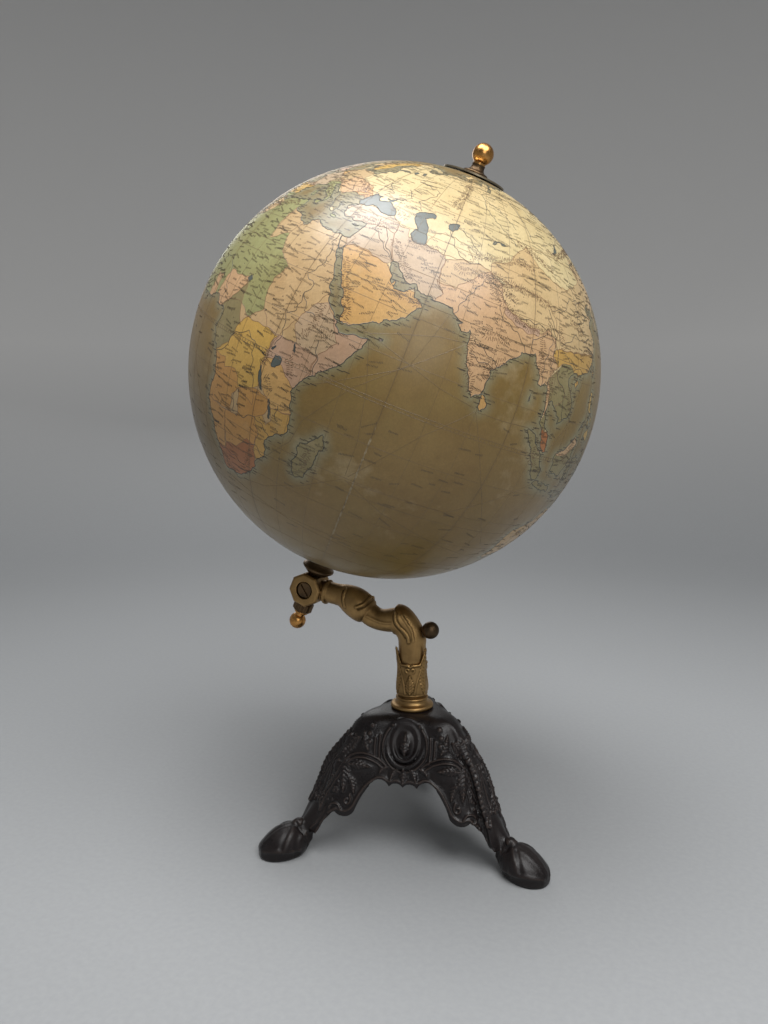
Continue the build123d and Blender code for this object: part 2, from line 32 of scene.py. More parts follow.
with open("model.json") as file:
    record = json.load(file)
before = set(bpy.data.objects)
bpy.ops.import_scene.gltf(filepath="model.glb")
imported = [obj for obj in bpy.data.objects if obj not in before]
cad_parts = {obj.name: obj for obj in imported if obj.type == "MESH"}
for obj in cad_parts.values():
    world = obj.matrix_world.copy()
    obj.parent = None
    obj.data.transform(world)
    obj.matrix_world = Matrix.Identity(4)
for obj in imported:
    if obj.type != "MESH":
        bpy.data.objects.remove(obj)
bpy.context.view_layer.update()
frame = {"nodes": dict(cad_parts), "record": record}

MM = 0.001
GLOBE_R = 165 * MM
PAPER = 0.3 * MM
GLOBE_CENTRE = np.array((-17, 0, 389.5)) * MM
TILT = math.radians(23.5)
AXIS = np.array((math.sin(TILT), 0, math.cos(TILT)))
EAST = np.array((math.cos(TILT), 0, -math.sin(TILT)))
NORTH_OF_EAST = np.array((0, 1.0, 0))
EAST_LONGITUDE = 129.0
GORE_WIDTH = 30
FIRST_GORE_LONGITUDE = 150
CALOTTE_LATITUDE = 70
BUSH_HOLE = 9 * MM


# Map outlines, each a closed run of longitude, latitude pairs in degrees.
LANDS = {
    "africa": """
    32.3 31.3 31 31.5 29.9 31.2 27.2 31.3 25 31.6 23.2 32.3 21.6 32.9 20.1 32.2 20 31 18.9 30.3 17.3 31
    15.6 31.6 15.2 32.4 13.2 32.9 11.2 33.2 10.2 34 10.9 35.2 11.1 36.9 10.2 37.2 9 37.2 7 36.9 5 36.8
    3 36.8 0.5 36.2 -1.2 35.7 -2.2 35.1 -3.9 35.2 -5.3 35.9 -5.9 35.8 -6.6 34.2 -7.6 33.6 -9.2 32.5
    -9.8 31.4 -9.6 30.3 -10.9 28.9 -12.9 27.9 -14.4 26.2 -15.9 23.8 -17 21.2 -16.2 19.6 -16.5 17
    -17.4 14.8 -16.8 13.2 -16.7 12.3 -15 10.8 -13.7 9.5 -13.2 8.4 -11.4 6.8 -9.2 5.2 -7.6 4.4 -4.2 5.2
    -2 4.8 0.6 5.8 2.4 6.3 4.3 6.3 5 5.5 6 4.3 7.5 4.5 8.8 4.5 9.5 3.9 9.8 2.5 9.4 1 8.8 -0.8 9.8 -2.5
    11.5 -4.6 12.3 -6 13.2 -8.5 13.8 -10.8 13 -12.8 12.2 -15.2 11.8 -17.2 12.6 -18.7 14 -21.5 14.5 -22.9
    15.1 -26.3 16.5 -28.6 17.8 -31.3 18.3 -33.8 18.5 -34.3 20 -34.8 22.2 -34.1 24.8 -34.2 25.7 -34
    28.2 -32.8 30.5 -30.8 31.1 -29.8 32.5 -28.3 32.9 -26 35.3 -24.2 35.5 -22.2 34.8 -20 36.9 -17.9
    39.6 -16.2 40.7 -14.9 40.5 -12.5 40.5 -10.6 39.5 -8.8 39.4 -6.9 38.8 -5.8 39.6 -4.1 40.6 -2.6 42 -0.8
    43.5 0.9 45.4 2.1 47.9 4.4 49.2 6.8 50.8 9.3 51.2 11.8 49 11.3 46.5 10.7 44.4 10.4 43.2 11.5 43.1 12.6
    41.6 13.8 40 15 39.4 15.6 38.5 17.8 37.3 19 37.2 21 36.5 22.3 35.5 24 34.4 26 33.6 27.8 32.6 29.9""",
    "eurasia": """
    32.6 29.9 33.2 28.5 34.2 27.8 34.9 29.5 35 28.1 36.6 25.9 37.5 24.2 38.5 22.7 39.1 21.5 40.5 19.6
    41.7 17.9 42.7 16 43.2 13.3 43.5 12.7 45 12.8 47.5 13.6 49.2 14.6 52.2 15.6 54 17 55.4 17.7 57 18.9
    57.8 20.4 59.8 22.5 58.6 23.7 57 24.2 56.4 25.8 56.3 26.4 55.3 25.3 54 24.2 51.8 24.1 51.3 24.6
    51.6 25.6 51.2 26.1 50.8 25 50.2 26.6 49 27.7 48.2 29.4 48.6 30 50.1 30.1 50.9 28.8 52.6 27.4
    54.6 26.5 56.4 27.1 57.2 25.9 59.5 25.4 61.7 25.1 64.5 25.2 66.6 25.2 66.9 24.8 67.5 23.9 68.8 23.2
    70.3 22.9 69 22.3 70.4 20.9 71.8 21.1 72.3 22 72.7 21 72.8 19 73.4 16.5 73.9 15.4 74.8 13 75.8 11.3
    76.4 9.5 77.5 8.1 78.2 8.9 79.2 9.3 79.8 10.3 79.8 12 80.3 13.3 80.1 15.2 81.3 16.2 82.4 16.9
    83.5 17.9 85.2 19.6 86.8 20.5 87.2 21.6 88.4 21.8 90.2 22.1 91.5 22.6 92.2 20.8 93.6 19.5 94.4 17.6
    94.3 16 95.5 15.8 96.4 16.8 97.5 16.5 98 14.2 98.6 11.8 98.4 9 98.3 7.9 99.9 6.4 100.4 5.2 101.4 2.9
    103.5 1.3 104.2 1.5 103.4 3.8 103.2 5.2 102.2 6.2 100.6 7.2 99.8 9.3 99.3 10.8 100 13.3 100.7 13.5
    101 12.7 102.5 12 103.6 10.6 104.8 10.3 104.7 8.7 106.6 9.8 107.2 10.4 109.2 11.7 109.3 13.2
    108.8 15.3 107.6 16.8 106 18.4 105.8 19.8 106.8 20.8 108.2 21.6 109.8 21.4 110 20.3 110.6 21.3
    113.2 22.1 114.2 22.3 116.7 23.2 118.2 24.5 119.6 25.9 120.9 27.9 121.9 29.5 121 30.5 121.9 31.2
    120.9 32.7 119.3 34.8 120.3 36 122.5 36.9 120.8 37.8 119 37.4 117.8 38.8 119.5 39.8 121.2 40.8
    121.2 38.8 123.2 39.7 124.5 39.9 125.3 38.5 124.8 37.8 126.6 37.2 126.4 34.9 127.5 34.6 129.1 35.2
    129.4 37 127.5 39.4 129.7 41 130.7 42.3 132 43.2 135.5 44.5 138.5 47.5 140.4 50.5 141.3 53 139.5 54.2
    137.2 53.8 135.2 54.7 138 56.5 142.5 59.2 148.5 59.4 152.5 59.1 155 59.4 157 61.6 160.3 61.8
    163.3 62.4 162 60.4 159.8 59.9 156.8 57.5 155.6 55 156.7 51 158.5 52.9 160 54.6 162 54.8 163.2 56.3
    162.9 57.9 165.5 59.9 170.3 60 174 61.8 179.3 62.5 177.5 64.6 181.5 65.4 187 64.3 190.3 66.1 186 67.2
    181 68.8 176 69.8 170.5 70 164 69.7 160.5 69.6 153 71 146 72.3 140 72.5 135.5 71.5 130 71 127 73.4
    122 72.9 114 73.6 110 74 113 75.8 106 77.2 104.3 77.7 98 76.2 90 75.4 84 73.8 80.5 73.5 80 72 75 72.7
    73.2 71.2 74 68.5 72.8 67 71 66.7 72.3 69.5 72.5 72.8 70 73.2 67 71.3 67 69 64 69.3 60.5 69.8 59 68.5
    54 68.3 51 68.4 46 68 43.5 68.6 44.1 66.5 42 66.4 40 64.8 37 64 34.8 64.5 32.6 66.9 38 66.1 41.2 66.8
    40 67.8 33.5 69.3 31 70.3 25.8 71.1 20 70 15 68.4 12.6 66 10 63.8 5.2 62 5.1 60.3 5.6 58.8 7.1 58
    10.6 59.2 11.3 58.3 12.8 55.6 14.3 55.6 16.5 57 18.5 59.6 17.2 61.5 18.8 63.2 22 65.6 24.8 65.4
    22.5 63.3 21.3 61.5 22.8 59.9 28 60.5 30.1 59.9 27 59.4 23.5 59.1 24.3 58 24 57 21.6 57.5 21 55.6
    19.6 54.4 16.5 54.5 13.5 54.4 10.9 54.2 10 55.5 10.6 57.6 8.2 57 8.2 55.4 8.7 53.9 6.8 53.5 4.7 52.8
    3.5 51.4 1.6 50.8 0.2 49.5 -1.6 49.7 -1.9 48.7 -4.7 48.4 -2.5 47.3 -1.2 46 -1.3 44 -1.8 43.4 -4.5 43.4
    -8 43.7 -9.3 43 -8.8 41 -9.5 38.8 -8.9 37 -6.9 37.2 -6.2 36.5 -5.5 36 -2.2 36.8 -0.7 37.6 0.2 38.8
    -0.3 39.6 0.9 41 3.2 42 3 43.2 4.8 43.4 7.4 43.7 8.9 44.4 10.3 43.5 11.6 42.2 13.2 41.2 14.4 40.8
    15.8 40 16.1 38.4 15.8 37.9 17.1 39 16.8 40.4 18.4 40 16.2 41.6 13.6 43.5 12.3 44.8 12.4 45.4
    13.7 45.6 14 44.8 15.2 44.2 17 43.1 19.3 41.9 19.4 40.3 21.1 38.4 21.7 36.8 23.1 36.4 24 37.8
    22.9 39.3 22.9 40.5 24.3 40.2 26 40.8 26.7 40.5 28.9 41 29 40.9 27.3 40.3 26.2 39.5 27 38.4 27.4 37
    29 36.3 30.6 36.8 32.5 36.1 34.5 36.7 36.1 36.6 35.8 35 35.5 33.9 34.9 32.5 34.2 31.3 32.3 31.3""",
    "north_america": """
    -168 65.6 -161 66.3 -166.5 68.3 -161 70.3 -156.5 71.3 -145 70 -135 69 -128 70.3 -122 69.8 -115 68.3
    -108 68 -101 67.8 -95.5 68 -95 71.9 -92 70 -88 68.2 -85.5 69.6 -81.5 69 -82.5 67 -87 65.2 -90 63.7
    -94.5 60 -94.6 58.7 -92.5 57 -87.5 56 -82.3 55.1 -82 52.9 -79.5 51.3 -78.7 53 -79.5 54.7 -76.7 57
    -78.5 58.8 -77.5 62.5 -73.5 62.3 -69.8 61 -69.5 58.9 -66 58.8 -64.5 60.3 -61.5 56.8 -57.5 54.6
    -55.8 52.6 -60 50.2 -66.5 50.2 -69.5 48 -65 49.2 -65 47.2 -61.2 45.5 -60 46.5 -63.6 44.6 -66 43.6
    -65 45.4 -67.5 44.6 -70.3 43.5 -70.7 42 -70 41.7 -74 40.6 -74.8 39 -75.5 37.5 -76 36.9 -75.6 35.2
    -78 33.9 -80.9 32 -81.4 30.3 -80.3 27.3 -80.2 25.4 -81.6 25.8 -82.7 27.8 -84 30 -86.5 30.4 -89.2 30.3
    -89.4 29.1 -92 29.6 -94.8 29.3 -97.3 27.5 -97.2 25.5 -97.8 22.2 -96.2 19.2 -94.5 18.2 -91.5 18.5
    -90.4 20.8 -87.2 21.5 -87.6 19.3 -88.3 17.5 -88.7 15.9 -86 15.9 -83.3 15 -83.6 12.5 -83.5 10.6
    -81.5 8.9 -79.8 9.5 -77.5 8.6 -77.9 7.3 -78.4 8.3 -79.5 8.9 -80.4 7.4 -82.9 8.3 -84 9.5 -85.8 10
    -87.6 12.8 -91.5 14 -94.5 16.2 -96.5 15.7 -99.9 16.8 -104.3 19.1 -105.6 20.4 -105.3 22 -107.5 24.8
    -109.4 26.5 -112.2 29 -113.2 31.2 -114.8 31.7 -114.6 30 -112.8 28 -111 25.5 -109.5 23.1 -112.2 25
    -112.2 26.3 -115 27.8 -115.8 30.3 -117.2 32.6 -120.6 34.5 -122.4 37.4 -124.2 40.4 -124.1 43.5
    -124 46.2 -124.7 48.3 -122.6 48 -123.2 49.2 -127.5 51 -130.3 54.4 -133.5 57 -137 58.7 -141 60
    -146.5 60.8 -149.8 60 -151.5 60.5 -153.5 59 -157.5 56.8 -162.5 55.1 -164.8 54.7 -160.5 56 -157.5 58.6
    -162 58.7 -165 61 -164.5 63 -161 64.5 -166.3 64.6""",
    "south_america": """
    -77.5 8.6 -75.5 10.6 -74.8 11.1 -72 12.2 -71.5 10.9 -70 12 -68 10.6 -64.5 10.2 -61.9 10.7 -60 8.5
    -57.5 6.3 -54 5.8 -51.6 4.2 -50 1.5 -48.5 -0.8 -44.5 -2.6 -41.5 -2.9 -38.5 -3.7 -35.3 -5.3 -34.8 -8
    -37 -11 -38.5 -13 -39 -16 -39.7 -19.5 -41 -22 -43.2 -23 -46.4 -24 -48.6 -26.5 -48.8 -28.5 -50.5 -30.5
    -53.5 -33.8 -55 -34.9 -58.4 -34.2 -57 -36.5 -57.6 -38.1 -62 -39 -65 -41 -63.8 -42.6 -65.5 -45
    -67.5 -46.3 -65.8 -47.8 -69 -50.5 -68.4 -52.4 -65.2 -54.7 -68 -55.6 -72 -54 -74.5 -52 -75.5 -49
    -75.5 -46.7 -73 -44.5 -73.8 -42 -73.4 -39.5 -73.5 -37 -71.6 -33 -71.5 -30 -70.5 -25.5 -70.2 -20
    -70.4 -18.4 -75.9 -14.7 -77.2 -12.1 -79.5 -7.9 -81.2 -6 -81.3 -4.5 -80 -2.8 -80.9 -1 -80 0.8 -78.5 2
    -77.3 3.9 -77.5 6.5 -77.9 7.3""",
    "australia": """
    113.7 -22.5 114.1 -21.8 117 -20.7 119.5 -19.9 122.2 -18 123 -16.5 125.5 -14.3 128 -14.9 129.6 -14.9
    130.8 -12.4 132.6 -11.3 135 -12.1 136.8 -12.2 135.5 -14.8 137.5 -16 139.3 -17.4 141 -16.8 141.6 -13.5
    142.5 -10.8 143.6 -13.5 145.3 -15.2 146.1 -17.7 147.8 -19.8 150.5 -22.4 152.9 -25.3 153.5 -28.2
    152.5 -32.3 151.2 -34 150 -37.3 147.5 -38.2 146.4 -39.1 144.8 -38.2 142 -38.4 140.5 -38 139.3 -36
    138.2 -34.8 137.8 -32.6 135.8 -34.9 134 -32.8 131.2 -31.5 127.5 -32.2 124 -33.2 123 -33.9 120 -33.9
    118 -35 115.2 -34.3 115.7 -32 114.2 -28 113.4 -25.5 113.6 -24""",
    "greenland": """
    -44 59.9 -48 61 -51.5 64.2 -53.5 67.5 -51 69.5 -54.5 71 -56 73.5 -60 76 -68.5 76.1 -72.5 78.2 -65 80.2
    -60 82 -45 82.8 -33 83.6 -22 82.2 -15 81 -18.5 77.5 -20 74.5 -22 72 -25 70.5 -32 68 -38 65.8 -41 63""",
    "antarctica": """
    -180 -78 -160 -77.5 -140 -75 -120 -73.8 -100 -72.5 -85 -73 -74 -72.5 -67 -68 -60 -63.8 -58 -63.5
    -62 -67 -61 -74 -45 -77.8 -30 -76 -18 -72.5 0 -70 20 -69.5 40 -68.8 55 -66 70 -68.5 85 -66.5 100 -66
    115 -66.5 135 -66 150 -68.5 165 -71 168 -77 180 -78 180 -90 -180 -90""",
    "baffin": """
    -65 61.9 -68 63 -78 64.5 -73 65.8 -73.5 68 -79 69.8 -89 71 -88 73.6 -80.5 73.7 -75 72 -68 70.5
    -61.5 67 -63.5 65""",
    "victoria_land": "-117 69.8 -113 68.6 -105 69 -104 71.5 -108 73.2 -115 73.3 -118.5 71.3",
    "banks_land": "-125 72 -121 71.2 -117 73.3 -121 74.5 -124.5 74",
    "ellesmere": "-78 76.5 -89 76.5 -87 79 -92 81 -75 83.1 -63 82.5 -70 80.5 -76 78.5",
    "devon": "-80 75.7 -92 76.5 -91 74.7 -80 74.7",
    "newfoundland": "-55.5 51.5 -53 47 -59.2 47.7 -57.5 50",
    "iceland": "-22.7 63.9 -18.5 63.4 -13.7 65 -16 66.4 -20.5 65.7 -22.5 66.4 -24.2 65.5",
    "britain": """
    -5.7 50.1 -3.5 50.3 1.3 51.2 1.7 52.7 0.3 53.1 -1.5 55 -2.1 57.6 -4 57.7 -3.1 58.6 -5.1 58.6 -6.1 56.7
    -4.8 54.7 -3.1 54.9 -3 53.4 -4.6 53.2 -5.2 51.8 -3 51.4""",
    "ireland": "-6 52.2 -9.8 51.5 -9.9 53.4 -8.4 54.5 -7.3 55.3 -5.6 54.6",
    "svalbard": "11 79 16.5 76.6 22 78.3 27 80 15 79.9",
    "novaya_zemlya": "52 71.5 57.5 70.7 60.5 74.5 69 76.8 60 76 54.5 73.5",
    "new_siberia": "138 75.9 145 75.6 150 75 143 74.2",
    "sakhalin": "142.1 46 143 47 142.9 49.2 144.5 49 143.2 52 142.7 54.3 141.8 53 142 49",
    "hokkaido": "140 41.5 141.2 41.8 143.3 42 145.4 43.3 144.3 44 141.9 45.4 141.5 43.3 140.4 43.2",
    "honshu": """
    140.9 41.5 141.5 40.5 142 39.5 141 38.2 140.8 35.8 139.8 35 138.2 34.6 136.9 34.3 135.8 33.5
    135.1 34.6 132.5 34.2 130.9 34 131.5 34.6 133 35.5 135.8 35.6 136.8 37.3 138.7 37.6 139.9 39.5
    140 40.6""",
    "kyushu": "130.9 33.9 132 33 131.3 31.4 130.3 31.2 129.8 32.8",
    "shikoku": "132.4 33.4 133 32.8 134.2 33.4 134.6 34.2 133.3 34.1",
    "formosa": "121.6 25.2 121 22.6 120.8 22 120.1 23.2 120.9 24.7",
    "hainan": "108.7 19.3 110.5 20.1 111 19.6 109.6 18.2",
    "luzon": "120.6 18.5 122.2 18.4 121.6 16 122 14.1 124 13 123.3 13 120.7 13.8 120.1 15 120.3 16.5",
    "mindanao": "122 7 123.4 8.7 125.4 9.7 126.4 7.5 125.5 5.7 124 6.7",
    "samar": "124.3 12.5 125.5 12.2 125.7 11 124.7 10.5",
    "negros": "122 11.8 123.1 11 123.3 9.2 122.5 9.8 121.9 10.6",
    "palawan": "117.2 8.4 119.5 11.3 119.3 10.3 117.6 8.6",
    "borneo": """
    109.1 0.4 109.2 1.9 111.2 2.5 113 3.2 115.2 5.5 116.9 7 119 5.2 117.7 3.9 118.9 1 117.5 0.5 116.4 -2.5
    116 -3.9 114.6 -4.1 113 -3.2 111.8 -3.4 110.2 -2.8 110 -1.4""",
    "sumatra": """
    95.3 5.6 97.5 5.2 100.3 2.7 103 0.7 103.7 -1 106 -3 105.8 -5.8 104.5 -5.8 102.3 -4 100.4 -1.2 98.7 1.7
    96.5 3.7""",
    "java": """
    105.2 -6.8 106.1 -5.9 108.6 -6.7 110.5 -6.5 111 -6.4 112.7 -6.9 114.5 -7.8 114.5 -8.7 111 -8.3
    108 -7.8 106.4 -7.4""",
    "sumbawa": "116.8 -8.9 118 -8.3 119.1 -8.6 118 -8.9",
    "flores": "119.9 -8.6 121.5 -8.4 122.9 -8.3 121.4 -8.9",
    "sumba": "119 -9.6 120.8 -10.2 120.2 -10.2 119.2 -9.8",
    "timor": "123.5 -10.3 124.5 -9.1 127.2 -8.4 125.5 -9.6",
    "celebes": """
    120.8 1.3 125 1.6 124 0.4 121 0.5 120.1 -0.8 121.4 -0.9 123.3 -0.9 122 -1.6 121.4 -2 122.4 -3.4
    123 -4.2 122.5 -5.4 121.5 -4.6 121 -2.7 120.3 -3 120.4 -5.5 119.5 -5.4 119.5 -3.4 118.9 -2.7
    119.8 -0.8""",
    "halmahera": "127.5 1 128 2.2 128.6 1.3 128 0.3 128.3 -0.8 127.7 0.2",
    "ceram": "128 -3.2 130.8 -3.2 130.2 -3.6 128.2 -3.5",
    "new_guinea": """
    131 -0.8 132.5 -0.4 134.1 -0.8 134.3 -2.5 135.2 -3.3 137.8 -1.5 141 -2.6 144.5 -3.9 145.8 -5.4
    147.8 -6.3 147 -6.8 148.5 -9 150.8 -10.3 147.5 -10.1 146.5 -9 144.5 -7.7 142.6 -9.3 141 -9.1 139 -8.1
    138 -8.4 138.8 -6.8 138 -5.4 135.5 -4.4 132.9 -4.1 132.8 -2.8 133.9 -2.3 132.2 -2.2 131 -1.4""",
    "new_britain": "148.4 -5.7 150.3 -5.4 152.2 -4.2 152 -5.3 150 -6.3",
    "bougainville": "154.7 -5.5 155.9 -6.8 155.2 -6.6",
    "guadalcanal": "159.7 -9.3 160.8 -9.8 160 -9.9",
    "new_caledonia": "164 -20.2 167 -22.3 166.4 -22.2",
    "north_island": """
    172.7 -34.5 174.8 -36.8 175.9 -37.6 178.4 -37.7 177 -39.6 175.3 -41.6 174.9 -41.3 175 -40 173.8 -39.3
    174.7 -38.2 174.3 -36.5""",
    "south_island": """
    172.8 -40.6 174.2 -41.4 172.8 -43.6 171.2 -44.4 170.7 -45.8 168.4 -46.6 166.5 -45.9 168.2 -44.2
    170.9 -42.8 171.6 -41.8""",
    "tasmania": "144.7 -40.8 148.2 -40.9 148 -42.8 146.8 -43.6 145.3 -42.4",
    "madagascar": """
    49.3 -12 50.4 -15.7 49.7 -16 49.4 -18.3 47.2 -24.8 45.2 -25.6 43.7 -23.5 43.4 -21.5 44.4 -19.8
    44 -17.5 44.5 -16.2 46.3 -15.7 48 -13.6""",
    "ceylon": "79.9 9.7 81.2 8.5 81.9 7.2 80.6 5.95 79.9 6.8 79.8 8.3",
    "socotra": "53.4 12.6 54.5 12.5 53.8 12.3",
    "andamans": "92.8 13.5 93 12 92.6 11.6",
    "cuba": "-84.9 21.9 -82 23.1 -80 23 -77 21.6 -74.2 20.2 -77.6 19.9 -78.2 20.8 -81.5 22.2 -83.5 22.2",
    "hispaniola": "-74.4 18.5 -73.3 19.9 -69.9 19.7 -68.4 18.6 -71.2 17.7",
    "jamaica": "-78.3 18.4 -76.3 18.1 -77.2 17.8",
    "porto_rico": "-67.2 18.4 -65.7 18.3 -67.1 18",
    "falklands": "-61 -51.8 -59 -51.3 -58 -51.8 -60 -52.3",
    "sicily": "12.5 37.9 15.6 38.2 15.1 36.7",
    "sardinia": "8.2 40.8 9.5 41.1 9.6 39.2 8.5 39",
    "corsica": "8.7 42.5 9.4 43 9.4 41.7 8.7 41.9",
    "crete": "23.6 35.5 26.2 35.2 24.8 34.95",
    "cyprus": "32.3 35 34.5 35.6 33.6 34.8",
    "hawaii": "-156 20.2 -154.9 19.5 -155.7 19",
}
LAKES = {
    "black_sea": """
    29.1 41.2 27.9 42.3 28.6 43.7 29.7 45.2 30.8 46.5 33.2 46.1 32.6 45.4 33.5 44.5 35.4 45 36.6 45.3
    35 46.2 38.5 47.1 37.9 46.3 37.2 45.2 38.8 44.3 41.4 42.4 41.6 41.6 39.7 41 36.5 41.4 35.1 42
    31.4 41.3""",
    "caspian": """
    49 46.3 51.5 46.9 53.1 46.5 53 45.3 51 44.6 50.3 44.4 51.5 43.2 52.6 42.3 52.8 41.4 53 40 53.9 38.8
    53.8 36.9 51.8 36.6 50 37.4 48.9 38.4 49.4 40.3 50.2 40.3 48.6 41.8 47.5 43 47.4 44 46.9 44.8
    47.9 45.7""",
    "aral": "58.4 44.2 58.2 45.6 59.6 46.4 61.5 46.6 61.2 45 60 43.9",
    "balkhash": "73.6 45.2 74.2 46.6 76.5 46.7 79 46.6 78 46.2 75 46.2 74.3 45.2",
    "baikal": "103.7 51.6 105.7 52.7 108.2 54.2 109.2 55.8 109.8 55.6 109 54 107.3 52.8 105.5 51.7",
    "ladoga": "30.6 60.6 31.4 61.7 32.8 61.2 32.4 60.1",
    "onega": "34.5 62 35.6 62.4 36.3 61.2 35.4 60.9",
    "victoria": "31.8 -1 31.8 -2.4 33 -2.4 33.9 -1.5 34.1 -0.2 33.2 0.3 32 0.1",
    "tanganyika": "29.3 -3.4 29.7 -4.8 30.6 -7.4 31.2 -8.7 30.4 -8.3 29.4 -6.6 29 -5 29 -3.5",
    "nyasa": "33.9 -9.6 34.6 -11.6 35.2 -14.2 34.6 -14 34 -11.8 33.7 -9.9",
    "rudolf": "35.9 4.5 36.4 3 36.6 2.5 36.1 2.8 35.7 4.2",
    "chad": "13.2 13.1 14.2 14 15.2 13.2 14.4 12.5",
    "albert": "30.4 1.1 31.3 2.2 31.4 1.9 30.7 1",
    "superior": "-92 46.8 -88.5 48.7 -84.8 47.3 -86.5 46.5 -89.5 46.9",
    "michigan": "-87.8 42.5 -87.3 44.8 -85.2 46 -86.3 44.3 -86.6 42",
    "huron": "-84 46 -81.2 45.8 -80 44.8 -82.2 43.2 -83.4 44.5",
    "erie": "-83.3 41.7 -80.5 42.7 -78.9 42.9 -81.5 41.6",
    "ontario": "-79.7 43.4 -76.4 44.1 -76.4 43.5 -79 43.2",
    "winnipeg": "-97 50.5 -98.5 53 -97.8 53.8 -96.4 51.5",
    "great_slave": "-116.5 61.2 -113 62.3 -109.5 62.7 -113.8 61",
    "great_bear": "-123 65.5 -121 66.8 -118 66.5 -120 65.3",
    "titicaca": "-70 -15.4 -69 -16 -68.9 -16.5 -69.8 -16",
}

# Washes of the printed map, as linear colours.
WASHES = {
    "sea": (0.222, 0.141, 0.041),
    "shoal": (0.258, 0.240, 0.150),
    "lake": (0.090, 0.105, 0.095),
    "amber": (0.56, 0.33, 0.12),
    "rose": (0.55, 0.34, 0.18),
    "peach": (0.57, 0.39, 0.20),
    "straw": (0.62, 0.48, 0.26),
    "gold": (0.50, 0.29, 0.08),
    "moss": (0.30, 0.285, 0.122),
    "olive": (0.25, 0.20, 0.09),
    "brick": (0.37, 0.14, 0.045),
    "tan": (0.51, 0.265, 0.078),
    "lemon": (0.55, 0.335, 0.085),
    "sand": (0.50, 0.335, 0.17),
    "mauve": (0.47, 0.335, 0.215),
    "pink": (0.47, 0.30, 0.20),
    "ice": (0.46, 0.405, 0.295),
}
LAND_WASH = {
    "africa": "sand", "eurasia": "straw", "north_america": "rose", "south_america": "peach",
    "australia": "pink", "greenland": "ice", "antarctica": "ice", "iceland": "peach", "svalbard": "ice",
    "novaya_zemlya": "straw", "new_siberia": "straw", "sakhalin": "straw", "hokkaido": "amber",
    "honshu": "amber", "kyushu": "amber", "shikoku": "amber", "formosa": "amber", "hainan": "gold",
    "luzon": "lemon", "mindanao": "lemon", "samar": "lemon", "negros": "lemon", "palawan": "lemon",
    "borneo": "olive", "sumatra": "olive", "java": "olive", "sumbawa": "olive", "flores": "olive",
    "sumba": "olive", "timor": "olive", "celebes": "olive", "halmahera": "olive", "ceram": "olive",
    "new_guinea": "olive", "new_caledonia": "moss", "madagascar": "olive", "ceylon": "amber",
    "cuba": "lemon", "hispaniola": "gold", "porto_rico": "lemon", "sicily": "moss", "sardinia": "moss",
    "corsica": "mauve", "crete": "moss", "hawaii": "lemon",
}
PLAIN_WASH = "pink"

